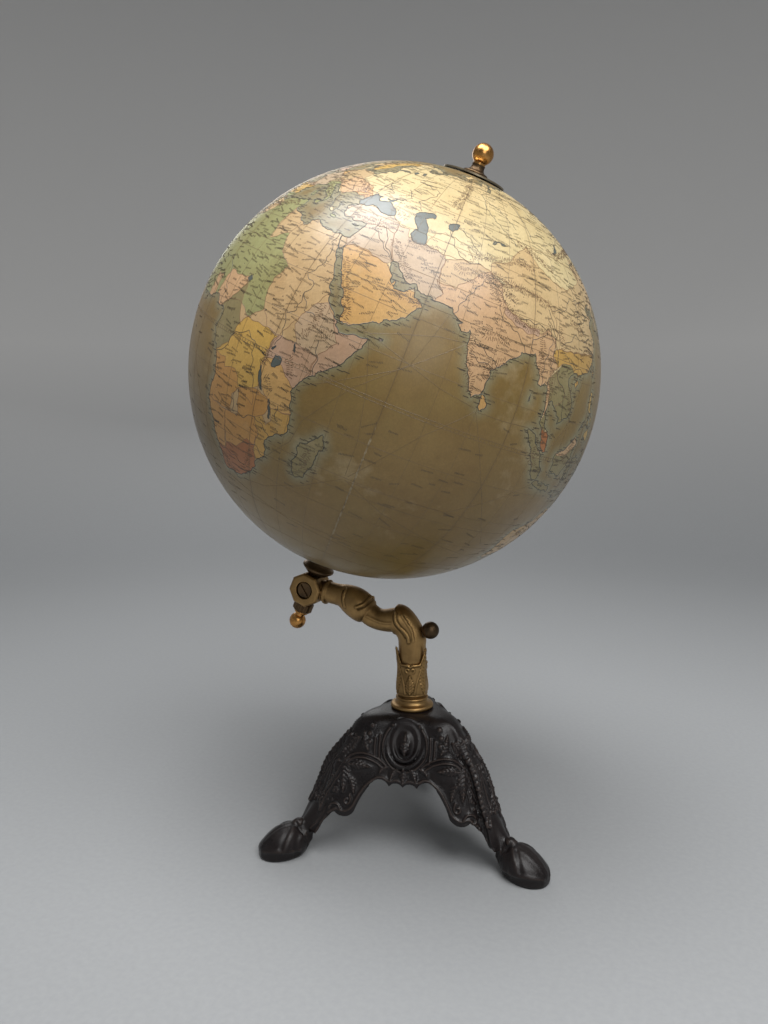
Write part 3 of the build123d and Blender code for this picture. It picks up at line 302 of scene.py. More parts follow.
# Tinted countries: wash, then longitude, latitude pairs. The first that holds a place gives its wash.
COUNTRIES = (
    ("amber", "34.9 29.5 37.5 30.2 40 30.4 44.5 29.3 47.5 29 50 27 60.5 24 60 16 45 11.5 41.5 13.5 "
              "38 21 33.8 27.5"),
    ("mauve", "34 31.3 34.9 29.5 37.5 30.2 44.5 29.3 47.5 29 48.5 30.3 46 34 45 37 41 37.5 36 36.7 "
              "35 34"),
    ("mauve", "25.5 35.8 36.5 36.7 41 37.5 45 37 44.5 40 41.5 41.6 38 42 31 42 29 41 26 40.2"),
    ("mauve", "44.5 39.5 48 39.5 49 37.5 54 37.2 60.5 36.6 61 34 60.8 31 61.7 29.5 63.2 27.2 61.6 24.5 "
              "56.5 25.5 50 28.5 48.3 30 46 33.5 45 37"),
    ("sand", "61 35.5 64.5 37.2 67.5 37.3 71.5 38 74.5 37.2 71.5 36 69.5 33.5 66.5 31 66 29.7 61 29.6 "
             "60.8 34"),
    ("pink", "80.2 30.2 88.2 28 92 28.2 92 26.8 88 26.4 84 27.2 80.2 28.8"),
    ("rose", "61.6 24.5 63.2 27.2 61 29.6 66 29.7 66.5 31 69.5 33.5 71.5 36 74.5 37.2 78 35.5 79 32.5 "
             "81 30.2 85 28.3 92 27.5 96 29 98.5 27.5 98 24 100.2 21.5 97.5 18.5 98.6 16 99.3 13 "
             "99.2 10 97 9 92 14 85 12 80 4.5 76 6 71 18 66 22"),
    ("brick", "99.6 6.6 102.2 6.3 105 3 104.6 0.8 101 1.5 99 5"),
    ("olive", "97.5 18.5 100.2 20.5 101.5 17.7 104.5 17 105.5 14.5 102.5 13 102.3 11 101.2 6.3 97.5 7 "
              "99.2 10 99.3 13 98.6 16"),
    ("olive", "100.2 20.5 102.3 22.5 105.5 23.3 108 21.5 111 15 110 10 104 8 102.3 11 102.5 13 "
              "105.5 14.5 104.5 17 101.5 17.7"),
    ("gold", "98.5 25.5 104 26 110 26.5 117 27.5 121.5 27.5 118 21.5 110 19.5 108 21.5 105.5 23.3 "
             "102.3 22.5 100.2 21.5 98 24"),
    ("sand", "125 39.8 127 42 130.8 42.4 130 34 125.5 33.5 124 38"),
    ("peach", "78 35.5 79 32.5 81 30.2 85 28.3 92 27.5 96 29 99 28 98.5 32 95 36 87 36.5 80.5 36"),
    ("peach", "73.7 39.5 80 42 82.5 45.3 87.5 49.2 92 45 97 42.7 105 41.7 111 43.5 119.8 46.8 "
              "117.5 49.6 120 53.3 126 52.5 131 47.7 134.7 48.3 131 44.8 130.8 42.4 125 39.8 123 31 "
              "122.5 28 98.5 25.5 98.5 27.5 99 28 98.5 32 95 36 87 36.5 80.5 36 74.5 37.2"),
    ("straw", "87.5 49.2 98 50.5 107 50 117.5 49.6 119.8 46.8 111 43.5 105 41.7 97 42.7 92 45"),
    ("straw", "55.5 41.5 60 42.5 66 41.5 68.5 38.2 66.5 37.3 60.5 36.6 54 37.3"),
    ("sand", "20 33.5 24.5 33 36 32 34.3 27 38.6 18.5 36.5 14.5 34 10 31 4.5 27 5 24 8.5 22.5 11 "
             "22 15.5 24 19.5 19 22 16.5 27"),
    ("mauve", "36.5 14.5 39.5 15.4 42.5 12 45 8 42 4 36 4.5 34 8 34 10"),
    ("pink", "39 18 42.5 12 45 8 42 4 41 -2 44 -1 53 8 52 13 43 13"),
    ("pink", "34 4.5 36 4.5 42 4 41.5 -2.5 39 -5 34 -1 30 -1 29.5 2 31 4.5"),
    ("amber", "30 -1 34 -1 39 -5 41 -6 41.5 -11 35 -11.6 32 -9 29.5 -6 29 -3"),
    ("gold", "35 -11.6 41.5 -10.8 42 -15 36 -19.5 37 -25 33 -27 31.5 -24 32.5 -19 30.5 -15.5 33 -14 "
             "34.5 -16 35.5 -14.5"),
    ("brick", "15.5 -28.5 20 -28 20.5 -26.5 25.5 -25.5 29 -22.2 31.5 -22.5 32.2 -26.8 34 -29 28 -36 "
              "16 -36"),
    ("tan", "11 -17.3 14 -17.4 20 -18 20 -28 15.5 -29 12 -22"),
    ("tan", "20 -18 22 -17.5 25 -17.8 24 -11 28.5 -9 33 -9.5 34.3 -12 33 -14 30.5 -15.5 32.5 -19 "
            "31.5 -22.5 29 -22.2 25.5 -25.5 20.5 -26.5 20 -22"),
    ("tan", "11.5 -5.8 16.5 -6 17.5 -8 21.5 -7 24 -11 22 -13 22 -17.5 14 -17.4 11 -17.3 12.5 -12"),
    ("lemon", "11.5 -5.8 13.5 -4.5 16.5 -2 18 3 20 5 27 5 31 4 29.5 0 29 -4 30 -8 28.5 -9 29.5 -13 "
              "24 -11 21.5 -7 17.5 -8 16.5 -6"),
    ("olive", "8 4.7 8 -1 11.5 -5.5 13.5 -4.5 16.5 -2 18 3 15.5 7.5 14.5 12.5 13 10 10.5 7"),
    ("rose", "2.7 5.8 3.5 11.5 4.5 13.5 9 12.8 13.5 13.5 14 12 13 10 10.5 7 8.4 4.6 5 3.5"),
    ("rose", "-3.2 4.5 -2.8 11 0.5 11 1.2 5.5"),
    ("peach", "-10.5 28.8 -6 29.5 -2 32 -2 35.8 -6 36.5 -11 32"),
    ("sand", "9.8 34 20 33.5 16.5 27 11 24 9.5 29"),
    ("moss", "-19 38 12 38.5 10.5 33 9.5 29 11 24 16.5 27 19 22 24 19.5 22 15.5 22.5 11 24 8.5 20 5 "
             "15.5 7.5 10 7 -8 3.5 -19 8"),
    ("mauve", "-5 42.5 3.4 42.3 7.5 43.5 7 46 8 49 2.5 51.2 -6 49"),
    ("lemon", "-10 44 -1.7 43.3 3.4 42.3 1 39 -2 36.4 -5.5 35.9 -7.2 37 -7 41.8 -10 42"),
    ("peach", "-10 42 -7 41.8 -7.2 37 -10 36.5"),
    ("moss", "7.5 43.5 7 45.8 12 46.7 14 45.6 19 41 19 37 12 37 10 42.5"),
    ("sand", "6 51 7 49 8 47.6 13 47.8 15 50.9 18.5 50 18 54.9 23 55.8 10 56 6 54"),
    ("rose", "9.6 47.4 12 46.7 13.7 45.6 19 42.5 22 44.6 26.5 45.5 26 48.5 18.5 50 15 50.9 13 47.8"),
    ("olive", "19 42.5 22 44.6 28.5 43.8 29 41 24 36 19.2 39.5"),
    ("tan", "22 44.6 28.5 43.8 29.8 45.3 26.6 48.2 26.5 45.5"),
    ("amber", "2.5 51.2 6.2 49.5 7.2 53.8 3.5 53.5"),
    ("peach", "4 57.5 11.3 59 12.3 63 16 68.2 21 69.1 31.5 70.6 25 72 12 69 3 62"),
    ("lemon", "11.3 59 12.3 63 16 68.2 21 69.1 24 66 21 63 19.5 59.5 14.5 55 12.2 55.8"),
    ("moss", "-141 69.8 -141 60.3 -130 55 -137 57.5 -170 53 -170 67 -157 72"),
    ("lemon", "-125 49 -95 49 -89 48 -84 46.5 -82.5 42 -79 43.3 -75 45 -71 45.2 -67 47 -66.5 44.5 "
              "-73 38 -79 25 -84 28 -97 25.8 -106.5 31.8 -114.8 32.4 -118 32.3 -126 41"),
    ("moss", "-118 32.3 -114.8 32.4 -106.5 31.8 -97 25.8 -95 19 -86 22 -88.5 17.7 -92 14.5 -106 18 "
             "-113 24"),
    ("peach", "-92 14.5 -88.5 17.7 -82 16 -77.4 8.8 -79 6 -88 12"),
    ("amber", "-79.5 9 -72 12.6 -70 6 -67.5 2 -70 -3.5 -75.5 -0.2 -79.5 1.5"),
    ("pink", "-72 12.6 -60 10.5 -60 5 -64 1.5 -67.5 2 -70 6"),
    ("olive", "-60 9 -51 5 -52 2 -59.5 1.5 -60 5"),
    ("sand", "-79.5 1.5 -75.5 -0.2 -70 -3.5 -72.5 -9.5 -69.5 -11 -69 -17.5 -71 -19 -83 -5"),
    ("lemon", "-69.5 -11 -65.5 -10 -60 -16.3 -58 -20 -62.5 -22.3 -67.5 -22.7 -69 -17.5"),
    ("gold", "-71 -18 -68.5 -20 -67 -24 -70 -30 -70.5 -36 -71.5 -45 -72.3 -51 -68.5 -52.5 -68.6 -56 "
             "-77 -50 -74 -30"),
    ("rose", "-67 -22.8 -62.5 -22.3 -57.6 -25.5 -53.7 -26.5 -57.8 -31 -58.3 -34.2 -56 -38 -64 -55.5 "
             "-68.6 -56 -68.5 -52.5 -72.3 -51 -71.5 -45 -70.5 -36 -70 -30 -67 -24"),
    ("sand", "-57.8 -30.2 -53.2 -33.5 -54.5 -35.5 -58.4 -34"),
    ("mauve", "-62.5 -22.3 -58 -20 -54.5 -22 -54.7 -25.5 -57.6 -25.5"),
    ("moss", "-70 -3.5 -67.5 2 -64 1.5 -59.5 1.5 -52 2 -50 5 -33 -5 -40 -24 -53.2 -34 -57.8 -30.2 "
             "-53.7 -26.5 -54.5 -22 -58 -20 -60 -16.3 -65.5 -10 -72.5 -9.5"),
    ("rose", "109 1.7 112 1.2 115 2.5 117.8 4.1 120 5.5 117 8 113 4.2 109.5 2.3"),
    ("pink", "141 -5 144 -6.5 148.2 -8.1 152 -11 141 -9.6"),
    ("gold", "141 -2 149 -5.5 148.2 -8.1 144 -6.5 141 -5"),
    ("straw", "129 -10 129 -40 141 -39 141 -26 138 -26 138 -15"),
    ("gold", "112 -20 112 -36 129 -33 129 -13"),
    ("lemon", "141 -29 154.5 -28.2 152 -38 149 -39 141 -34"),
    ("moss", "140.9 -34 149 -37.2 151 -40 140.5 -39"),
    ("tan", "138 -15 138 -26 141 -26 141 -29 154.5 -28.2 154 -20 143 -9.8 139 -16"),
)

# Rivers, mountain crests and sea routes, each an open run of longitude, latitude pairs.
RIVERS = (
    "31.2 31.4 31.2 29 32.8 25.7 32.6 22.5 30.6 19.5 33.8 17.9 32.5 15.6 32.5 11 30.5 9.3 31.8 5 31 2.2",
    "32.5 15.6 34.5 12 37.3 11.6", "12.4 -6 15.5 -4 17.5 0.5 22 2.2 25 0.5 26.5 -5 28.5 -9",
    "6.3 4.6 6.6 8 4 12.5 0 16.5 -4 15.5 -9 11.5", "36.2 -18.8 33 -16.5 30.5 -15.6 27 -17 23 -17 22.5 -12",
    "16.5 -28.6 20 -28.7 24 -29 27.5 -30.5", "35 -24.8 31.5 -22.3 27 -24", "42.5 0 42 4 40.5 7",
    "48.3 30.2 46 31.2 42.5 34.3 39 36.5 39 39", "48.3 30.3 45 33 43.2 36 41 38",
    "67.5 24 68.5 27.5 71 31.5 73 34.5 77 34.2 81 31", "88.5 22 85 25.5 80 27.5 78.2 30.5",
    "90.5 22.5 90 25.5 95.5 28 94 29.5 85 29.3", "81.8 16.5 77 19 74 20", "80.9 16 76.5 16.3 74 17.5",
    "95.5 15.9 95 20 96 23.5 97.5 27", "97.6 16.5 98 21 98.5 26 95 31",
    "106.5 9.8 105 13 105 16 101 19 100.5 22.5 98.5 28 95 32.5", "113.5 22.5 108 23 103 25",
    "121.8 31.5 117 31 112.5 29.8 108 30.5 104.5 28.5 101 26.5 99.5 29 95 34",
    "119 37.5 114 35 110.5 35 111 40 106.5 39.5 103.5 36 97 34.5", "141 53 137 50 131 47.7 124 53 116 50.5",
    "127 73 124 67 129 63 120 60 106 54", "82 71.5 87 66 91 58 92 52", "73 66.8 67 63 69 61 77 59 84 54",
    "69 61 70 57 76 53 83 48", "61 46.2 66 44 69 41", "59.5 43.8 62 40 66 37.3 71.5 38",
    "48 46 45 49 49 53.5 49.2 55.7 44 56.5 38 57.5", "39 47.1 42 49 39 52.5",
    "32.5 46.6 35 48.5 31 51 31 54.5", "29.5 45.2 25 43.8 20.5 45 19 47.5 13 48.5 8.5 48",
    "4.3 52 7 51 8 48.5 9 47.5", "-89.5 29.2 -91 33 -89.3 37 -91 41 -94.5 47",
    "-90 38.8 -96 41.5 -101 46 -110 47.5", "-89.3 37 -84 38.8 -80 40.5",
    "-97.3 26 -101 29.5 -106.5 32 -106.8 37", "-114.7 32 -114 36 -110 38.5", "-124 46.2 -119 46 -118 49",
    "-134.5 69 -128 65 -121 61.5 -114 61", "-164 62.8 -155 64.8 -145 66 -138 63.5",
    "-50.5 0 -55 -2.2 -60 -3 -66 -2.6 -73 -4", "-59 -3.3 -62.5 -8 -65.3 -12", "-60 -3 -63.5 -0.5 -67 1.5",
    "-61 8.8 -65 7.8 -67.5 4", "-58.4 -34 -59.5 -30 -57 -25.5 -54.5 -24 -50 -20",
    "-58.5 -27.3 -57.5 -20 -57 -15.5", "139.2 -35.5 142 -34 147 -36", "142 -34 145 -30.5 150 -28.7",
    "36.5 -10.5 36.5 -12.5 37.5 -14",
)
CRESTS = (
    "71 35.5 74 35 77 33 80 30.6 84 28.8 88 27.9 92 28 96 28.6", "73.5 36.6 77 35.5 80 34 83 32.5",
    "75 37.2 80 36.2 86 36.3 92 36 98 35", "69 40 74 41 79 42 84 43.3 90 43.3",
    "84 49.5 89 48.5 94 46.8 99 45.5", "64 34.8 67.5 34.7 70 35.6", "46 35.5 49 32.8 52 30 55 28",
    "49 36.8 53 36.2 58 37.2", "38 44.2 42 43.2 46 42.2", "30 37.2 34 37.3 39 38.2 44 38.6",
    "37 26.8 39.3 23.3 41.2 20 43.5 16.5 44.3 14", "54 23.5 57 23.4 58.8 22.6",
    "38 14.5 38.5 12 38 9 37 6.5", "41 9 43 9.2", "-9 30.8 -5 32.5 -1 34 4 35.3 8.5 35.5",
    "29 -29.8 30 -27 30.8 -24.5", "19 -32.5 23 -33.4", "29.8 0.6 29.5 -1.5 29.2 -3", "36 0.6 37.4 -3",
    "31 -5 34 -8.5", "73.6 20 74 16 75.2 12.8 77 9.5", "78.5 13.5 79.5 16 83 18.6", "75 22.6 79 22.5 83 23",
    "94 26 93.8 22.5 94.3 19", "98.2 20 98.8 16.5 99.2 13", "107 18 107.6 15.5 108.6 12.5",
    "100 31 101.5 28 102.5 25.5", "106 33.5 110 32.8 113 32", "111 26 115 27.5 118 28", "112 36 114 40",
    "120 47 121 50.5", "100 51.8 106 51.2 112 53 120 55.5 130 57", "60 66 59.5 61 58.5 56 57.5 52",
    "140 62 134 66 130 69", "158 54 160 58", "6.8 44.8 8 46.2 11 47 14.5 47.2",
    "18.5 49.3 23 48.5 25.5 46.3 23 45.4", "-1 42.8 2 42.5", "-6 43 -3 43", "8 61 12 64 16 67.5",
    "10.5 44 13.5 42.5 16 40", "20 42 21.5 39.8", "-150 61.8 -143 61.5 -136 59.5 -130 56.5 -124 51.5",
    "-128 62 -120 56 -115 51 -112 46.5 -108 42 -106 37.5", "-121.5 48 -121.8 43 -119.5 38 -118 35.6",
    "-105.5 28 -104 23.5 -99 19.2", "-83.5 35 -80 38 -76 41 -71.5 44",
    "-75 6 -77 2 -78.5 -1.5 -78 -8 -73 -13.5 -69 -17 -68 -22 -69.5 -28 -70 -34 -71.5 -40 -73 -47",
    "-63 4.5 -60 4 -56 2", "-44 -20.5 -43 -15 -41.5 -11", "-48 -16 -52 -18",
    "145.5 -17 149 -22.5 151.5 -28 149.5 -34 147 -36.8", "132 -23.8 135 -23.5", "118 -22.5 121 -24",
    "138 -4 142 -5.2 146 -7.5", "114 1 116.5 5.5", "99 2 102 -2.5", "47 -17 46.6 -22", "170 -43.8 168 -45",
    "138 36 140.5 38.5", "-40 78 -38 70 -44 63",
)
ROUTES = (
    "43.5 12.4 51 12.9 58 15.5 66 18 72.5 18.9", "51 12.9 60 10.5 70 7.6 79.5 6.2",
    "80.5 5.6 88 5.6 95 6 98 5.2 101 2.6", "80 5.5 88 -8 97 -20 105 -28 115 -32",
    "39.8 -4.2 48 0.5 60 8 72.4 18.6", "51.5 11.4 55 2 57.4 -10 57.5 -19.5",
    "57.8 -20.5 70 -26 90 -31 115 -35.5", "57 -20.6 47 -27.5 36 -33 26 -35",
    "20 -36.5 45 -41 75 -43.5 105 -42.5 140 -39.8", "79.8 5.6 70 -4 58.2 -19.4",
    "105.5 -7 98 -12 85 -20 58.5 -20.6", "32.6 -27.5 42 -17 43.5 -11 52 0.5 62 10 66.5 23.5",
    "-6 36 -12 30 -19 15 -14 5 0 -10 12 -28 18 -34", "-5.5 49.2 -25 47 -50 42.5 -73 40.3",
    "-9.5 38 -22 17 -32 -3 -36 -12 -42.5 -23.2", "-42 -23.4 -25 -32 0 -36 17.5 -34.4",
    "-123 37.6 -140 48 -170 51.5", "-123 37.4 -140 30 -157.5 21.2", "-158 21 -170 0 -177 -15",
    "142 35 160 44 175 49", "104.5 1.5 109 8 113.8 21.8", "114.5 22 119 27 122.2 31",
    "151.5 -34 162 -37 174 -36.4", "-79.7 8.6 -95 0 -125 -10 -149 -17.5",
    "-72 -33 -100 -30 -140 -35 -176 -39",
)


def add(tree, kind, inputs=(), **settings):
    """Adds a node, with its settings and its inputs, which are values or other nodes' outputs."""
    node = tree.nodes.new(kind)
    for key, value in settings.items():
        setattr(node, key, value)
    for key, value in dict(inputs).items():
        if isinstance(value, bpy.types.NodeSocket):
            tree.links.new(value, node.inputs[key])
        else:
            node.inputs[key].default_value = value
    return node


def calc(tree, operation, first, second=0.0, third=0.0):
    inputs = {0: first, 1: second, 2: third}
    return add(tree, "ShaderNodeMath", inputs, operation=operation).outputs[0]


def times(tree, first, second):
    return calc(tree, "MULTIPLY", first, second)


def plus(tree, first, second):
    return calc(tree, "ADD", first, second)


def stored_value(tree, name):
    return add(tree, "ShaderNodeAttribute", attribute_name=name).outputs["Fac"]


def blend(tree, amount, under, over, mode="MIX"):
    inputs = {0: amount, 6: under, 7: over}
    return add(tree, "ShaderNodeMix", inputs, data_type="RGBA", blend_type=mode).outputs[2]


def spread(tree, value, low, high, bottom=0.0, top=1.0):
    inputs = {"Value": value, "From Min": low, "From Max": high, "To Min": bottom, "To Max": top}
    return add(tree, "ShaderNodeMapRange", inputs).outputs["Result"]


def cloud(tree, where, scale, detail=3.0, roughness=0.55):
    inputs = {"Vector": where, "Scale": scale, "Detail": detail, "Roughness": roughness}
    return add(tree, "ShaderNodeTexNoise", inputs).outputs["Fac"]


def new_group(name, kind, inputs, outputs):
    """Starts a node group with named sockets, and gives the group, its input node and its output node."""
    tree = bpy.data.node_groups.new(name, kind)
    for direction, sockets in (("INPUT", inputs), ("OUTPUT", outputs)):
        for socket, type_name in sockets:
            tree.interface.new_socket(socket, in_out=direction, socket_type="NodeSocket" + type_name)
    return tree, tree.nodes.new("NodeGroupInput").outputs, tree.nodes.new("NodeGroupOutput")


def place_group(tree, group, inputs):
    return add(tree, "ShaderNodeGroup", inputs, node_tree=group).outputs


# Shared finishes.
def blotches_group():
    """Uneven patches with a finer grain in them."""
    sockets = (("Coordinates", "Vector"), ("Scale", "Float"), ("Low", "Float"), ("High", "Float"))
    made = (("Mask", "Float"), ("Grain", "Float"))
    tree, given, out = new_group("blotches", "ShaderNodeTree", sockets, made)
    broad = cloud(tree, given["Coordinates"], given["Scale"], 4.0, 0.6)
    grain = cloud(tree, given["Coordinates"], times(tree, given["Scale"], 9.0), 3.0, 0.6)
    mixed = plus(tree, times(tree, broad, 0.78), times(tree, grain, 0.22))
    tree.links.new(spread(tree, mixed, given["Low"], given["High"]), out.inputs["Mask"])
    tree.links.new(grain, out.inputs["Grain"])
    return tree


def tarnish_group():
    """Metal that has dulled in patches, with fine pits and rub marks."""
    sockets = (("Coordinates", "Vector"), ("Metal", "Color"), ("Tarnish", "Color"), ("Scale", "Float"),
               ("Low", "Float"), ("High", "Float"), ("Smooth", "Float"), ("Dull", "Float"))
    made = (("Color", "Color"), ("Roughness", "Float"), ("Height", "Float"), ("Mask", "Float"))
    tree, given, out = new_group("tarnish", "ShaderNodeTree", sockets, made)
    patches = place_group(tree, BLOTCHES, {k: given[k] for k in ("Coordinates", "Scale", "Low", "High")})
    rubbing = {"Vector": given["Coordinates"], "Scale": (900.0, 900.0, 120.0)}
    marks = cloud(tree, add(tree, "ShaderNodeMapping", rubbing).outputs[0], 1.0, 2.0)
    shade = spread(tree, patches["Grain"], 0.3, 0.75, 0.82, 1.12)
    color = blend(tree, patches["Mask"], given["Metal"], given["Tarnish"])
    tree.links.new(blend(tree, 1.0, color, shade, "MULTIPLY"), out.inputs["Color"])
    rough = add(tree, "ShaderNodeMix", {0: patches["Mask"], 2: given["Smooth"], 3: given["Dull"]}).outputs[0]
    uneven = spread(tree, marks, 0.3, 0.7, -0.06, 0.08)
    tree.links.new(plus(tree, rough, uneven), out.inputs["Roughness"])
    pits = times(tree, patches["Grain"], 0.7)
    tree.links.new(plus(tree, pits, times(tree, marks, 0.3)), out.inputs["Height"])
    tree.links.new(patches["Mask"], out.inputs["Mask"])
    return tree


def fibres_group():
    """Short crossing fibres, as in paper, card and pulp."""
    sockets = (("Coordinates", "Vector"), ("Scale", "Float"))
    made = (("Mask", "Float"), ("Height", "Float"))
    tree, given, out = new_group("fibres", "ShaderNodeTree", sockets, made)
    layers = []
    for stretch, turn in (((1.0, 7.0, 3.0), 0.4), ((6.0, 1.0, 2.0), 1.1)):
        laid = {"Vector": given["Coordinates"], "Rotation": (turn, turn, 0), "Scale": stretch}
        layers.append(cloud(tree, add(tree, "ShaderNodeMapping", laid).outputs[0], given["Scale"], 3.0))
    both = times(tree, layers[0], layers[1])
    tree.links.new(spread(tree, both, 0.12, 0.4), out.inputs["Mask"])
    tree.links.new(both, out.inputs["Height"])
    return tree


BLOTCHES = blotches_group()
TARNISH = tarnish_group()
FIBRES = fibres_group()


def patches_at(tree, where, scale, low, high):
    given = {"Coordinates": where, "Scale": scale, "Low": low, "High": high}
    return place_group(tree, BLOTCHES, given)


def start_material(name):
    material = bpy.data.materials.new(name)
    material.use_nodes = True
    material.node_tree.nodes.clear()
    return material, material.node_tree, add(material.node_tree, "ShaderNodeTexCoord").outputs["Object"]


def end_material(tree, color, roughness, height, depth, fixed=()):
    """Joins colour, roughness and relief to the surface shader; depth is the relief's in metres."""
    bump = add(tree, "ShaderNodeBump", {"Height": height, "Distance": depth, "Strength": 1.0})
    inputs = {"Base Color": color, "Roughness": roughness, "Normal": bump.outputs["Normal"], **dict(fixed)}
    shader = add(tree, "ShaderNodeBsdfPrincipled", inputs)
    add(tree, "ShaderNodeOutputMaterial", {"Surface": shader.outputs[0]})


def shifted(tree, where, offset):
    return add(tree, "ShaderNodeMapping", {"Vector": where, "Location": offset}).outputs[0]


VARNISH = {"Specular IOR Level": 0.3, "Coat Weight": 0.62, "Coat Roughness": 0.3}


def varnished_print():
    """The printed gores under a century of browned varnish, stained, rubbed, and split along the joins."""
    material, tree, where = start_material("varnished_print")
    wash = add(tree, "ShaderNodeAttribute", attribute_name="wash")
    seam = stored_value(tree, "seam")
    torn = stored_value(tree, "torn")
    stain = patches_at(tree, where, 11.0, 0.42, 0.66)
    rubbed = patches_at(tree, shifted(tree, where, (3.1, 0.7, 1.9)), 19.0, 0.57, 0.68)
    drips = patches_at(tree, shifted(tree, where, (0.4, 5.2, 2.3)), 70.0, 0.52, 0.74)
    fibres = place_group(tree, FIBRES, {"Coordinates": where, "Scale": 260.0})
    browned = times(tree, stain["Mask"], 0.75)
    color = blend(tree, browned, wash.outputs["Color"], (0.74, 0.68, 0.55, 1), "MULTIPLY")
    greened = patches_at(tree, shifted(tree, where, (1.3, 2.4, 0.6)), 7.0, 0.40, 0.58)
    greened = times(tree, greened["Mask"], 0.35)
    color = blend(tree, greened, color, (0.82, 0.97, 0.93, 1), "MULTIPLY")
    color = blend(tree, times(tree, rubbed["Mask"], 0.44), color, (0.38, 0.30, 0.165, 1))
    dripped = times(tree, drips["Mask"], 0.35)
    color = blend(tree, dripped, color, (0.72, 0.66, 0.56, 1), "MULTIPLY")
    color = blend(tree, 1.0, color, spread(tree, fibres["Mask"], 0.0, 1.0, 0.9, 1.08), "MULTIPLY")
    specks = spread(tree, cloud(tree, where, 1500.0, 2.0), 0.66, 0.72, 0.0, 0.45)
    color = blend(tree, specks, color, (0.10, 0.065, 0.03, 1))
    ragged = spread(tree, cloud(tree, where, 420.0, 3.0), 0.35, 0.65, 0.05, 0.38)
    line = times(tree, spread(tree, seam, 0.1, 0.32, 1.0, 0.0), 0.75)
    grime = times(tree, spread(tree, seam, 0.0, 3.4, 1.0, 0.0), ragged)
    color = blend(tree, grime, color, (0.66, 0.58, 0.46, 1), "MULTIPLY")
    color = blend(tree, line, color, (0.075, 0.048, 0.022, 1))
    frayed = plus(tree, torn, spread(tree, cloud(tree, where, 300.0, 3.0), 0.3, 0.7, -0.35, 0.75))
    color = blend(tree, spread(tree, frayed, 0.22, 0.55, 0.6, 0.0), color, (0.46, 0.39, 0.25, 1))
    worn = calc(tree, "MULTIPLY_ADD", rubbed["Mask"], 0.14, times(tree, drips["Mask"], 0.06))
    rough = plus(tree, spread(tree, stain["Grain"], 0.3, 0.7, 0.36, 0.46), worn)
    swell = times(tree, cloud(tree, where, 34.0, 2.0), 3.0)
    ridge = spread(tree, seam, 0.0, 1.1, -0.55, 0.0)
    height = calc(tree, "MULTIPLY_ADD", fibres["Height"], 0.22, plus(tree, swell, ridge))
    end_material(tree, color, rough, height, 0.0001, VARNISH)
    return material


def printing_ink(name, color, pale):
    """Ink that has thinned and browned unevenly under the varnish."""
    material, tree, where = start_material(name)
    faded = patches_at(tree, where, 40.0, 0.35, 0.7)
    tone = blend(tree, faded["Mask"], (*color, 1), (*pale, 1))
    rough = spread(tree, faded["Grain"], 0.3, 0.7, 0.36, 0.5)
    end_material(tree, tone, rough, faded["Grain"], 0.00001, VARNISH)
    return material


def aged_metal(name, metal, tarnish, scale, low, high, smooth, dull, depth):
    """Bare metal; by a piece's relief value, its hollows hold dirt and its high parts are rubbed."""
    material, tree, where = start_material(name)
    given = {"Coordinates": where, "Metal": (*metal, 1), "Tarnish": (*tarnish, 1), "Scale": scale,
             "Low": low, "High": high, "Smooth": smooth, "Dull": dull}
    surface = place_group(tree, TARNISH, given)
    relief = stored_value(tree, "relief")
    hollow = spread(tree, relief, -0.7, -0.05, 0.75, 0.0)
    rubbed = spread(tree, relief, 0.35, 1.0, 0.0, 0.45)
    color = blend(tree, hollow, surface["Color"], tuple(c * 0.18 for c in tarnish) + (1,))
    color = blend(tree, rubbed, color, (*metal, 1))
    rough = plus(tree, surface["Roughness"], times(tree, hollow, 0.25))
    end_material(tree, color, rough, surface["Height"], depth, {"Metallic": 1.0})
    return material


def black_iron():
    """Old black paint on a rough casting, worn to brown on the high parts and dusty in the hollows."""
    material, tree, where = start_material("black_iron")
    patches = patches_at(tree, where, 45.0, 0.42, 0.68)
    sand = cloud(tree, where, 1300.0, 3.0, 0.65)
    relief = stored_value(tree, "relief")
    color = blend(tree, patches["Mask"], (0.0070, 0.0052, 0.0055, 1), (0.0150, 0.0105, 0.0098, 1))
    high = times(tree, spread(tree, relief, 0.3, 1.0), spread(tree, sand, 0.35, 0.65, 0.35, 0.8))
    color = blend(tree, high, color, (0.050, 0.035, 0.029, 1))
    hollow = spread(tree, relief, -0.6, -0.1, 1.0, 0.0)
    color = blend(tree, times(tree, hollow, 0.7), color, (0.010, 0.008, 0.008, 1))
    color = blend(tree, spread(tree, sand, 0.64, 0.74, 0.0, 0.5), color, (0.075, 0.058, 0.048, 1))
    uneven = spread(tree, sand, 0.3, 0.7, -0.05, 0.07)
    rough = plus(tree, spread(tree, patches["Mask"], 0.0, 1.0, 0.27, 0.44), uneven)
    height = calc(tree, "MULTIPLY_ADD", sand, 0.5, times(tree, patches["Grain"], 0.5))
    end_material(tree, color, rough, height, 0.00022, {"Specular IOR Level": 0.32})
    return material


def pulp(name, light, dark, scale, depth):
    material, tree, where = start_material(name)
    fibres = place_group(tree, FIBRES, {"Coordinates": where, "Scale": scale})
    stain = patches_at(tree, where, 18.0, 0.4, 0.7)
    color = blend(tree, times(tree, stain["Mask"], 0.6), (*light, 1), (*dark, 1))
    color = blend(tree, 1.0, color, spread(tree, fibres["Mask"], 0.0, 1.0, 0.8, 1.1), "MULTIPLY")
    end_material(tree, color, spread(tree, fibres["Mask"], 0.0, 1.0, 0.8, 0.92), fibres["Height"], depth)
    return material


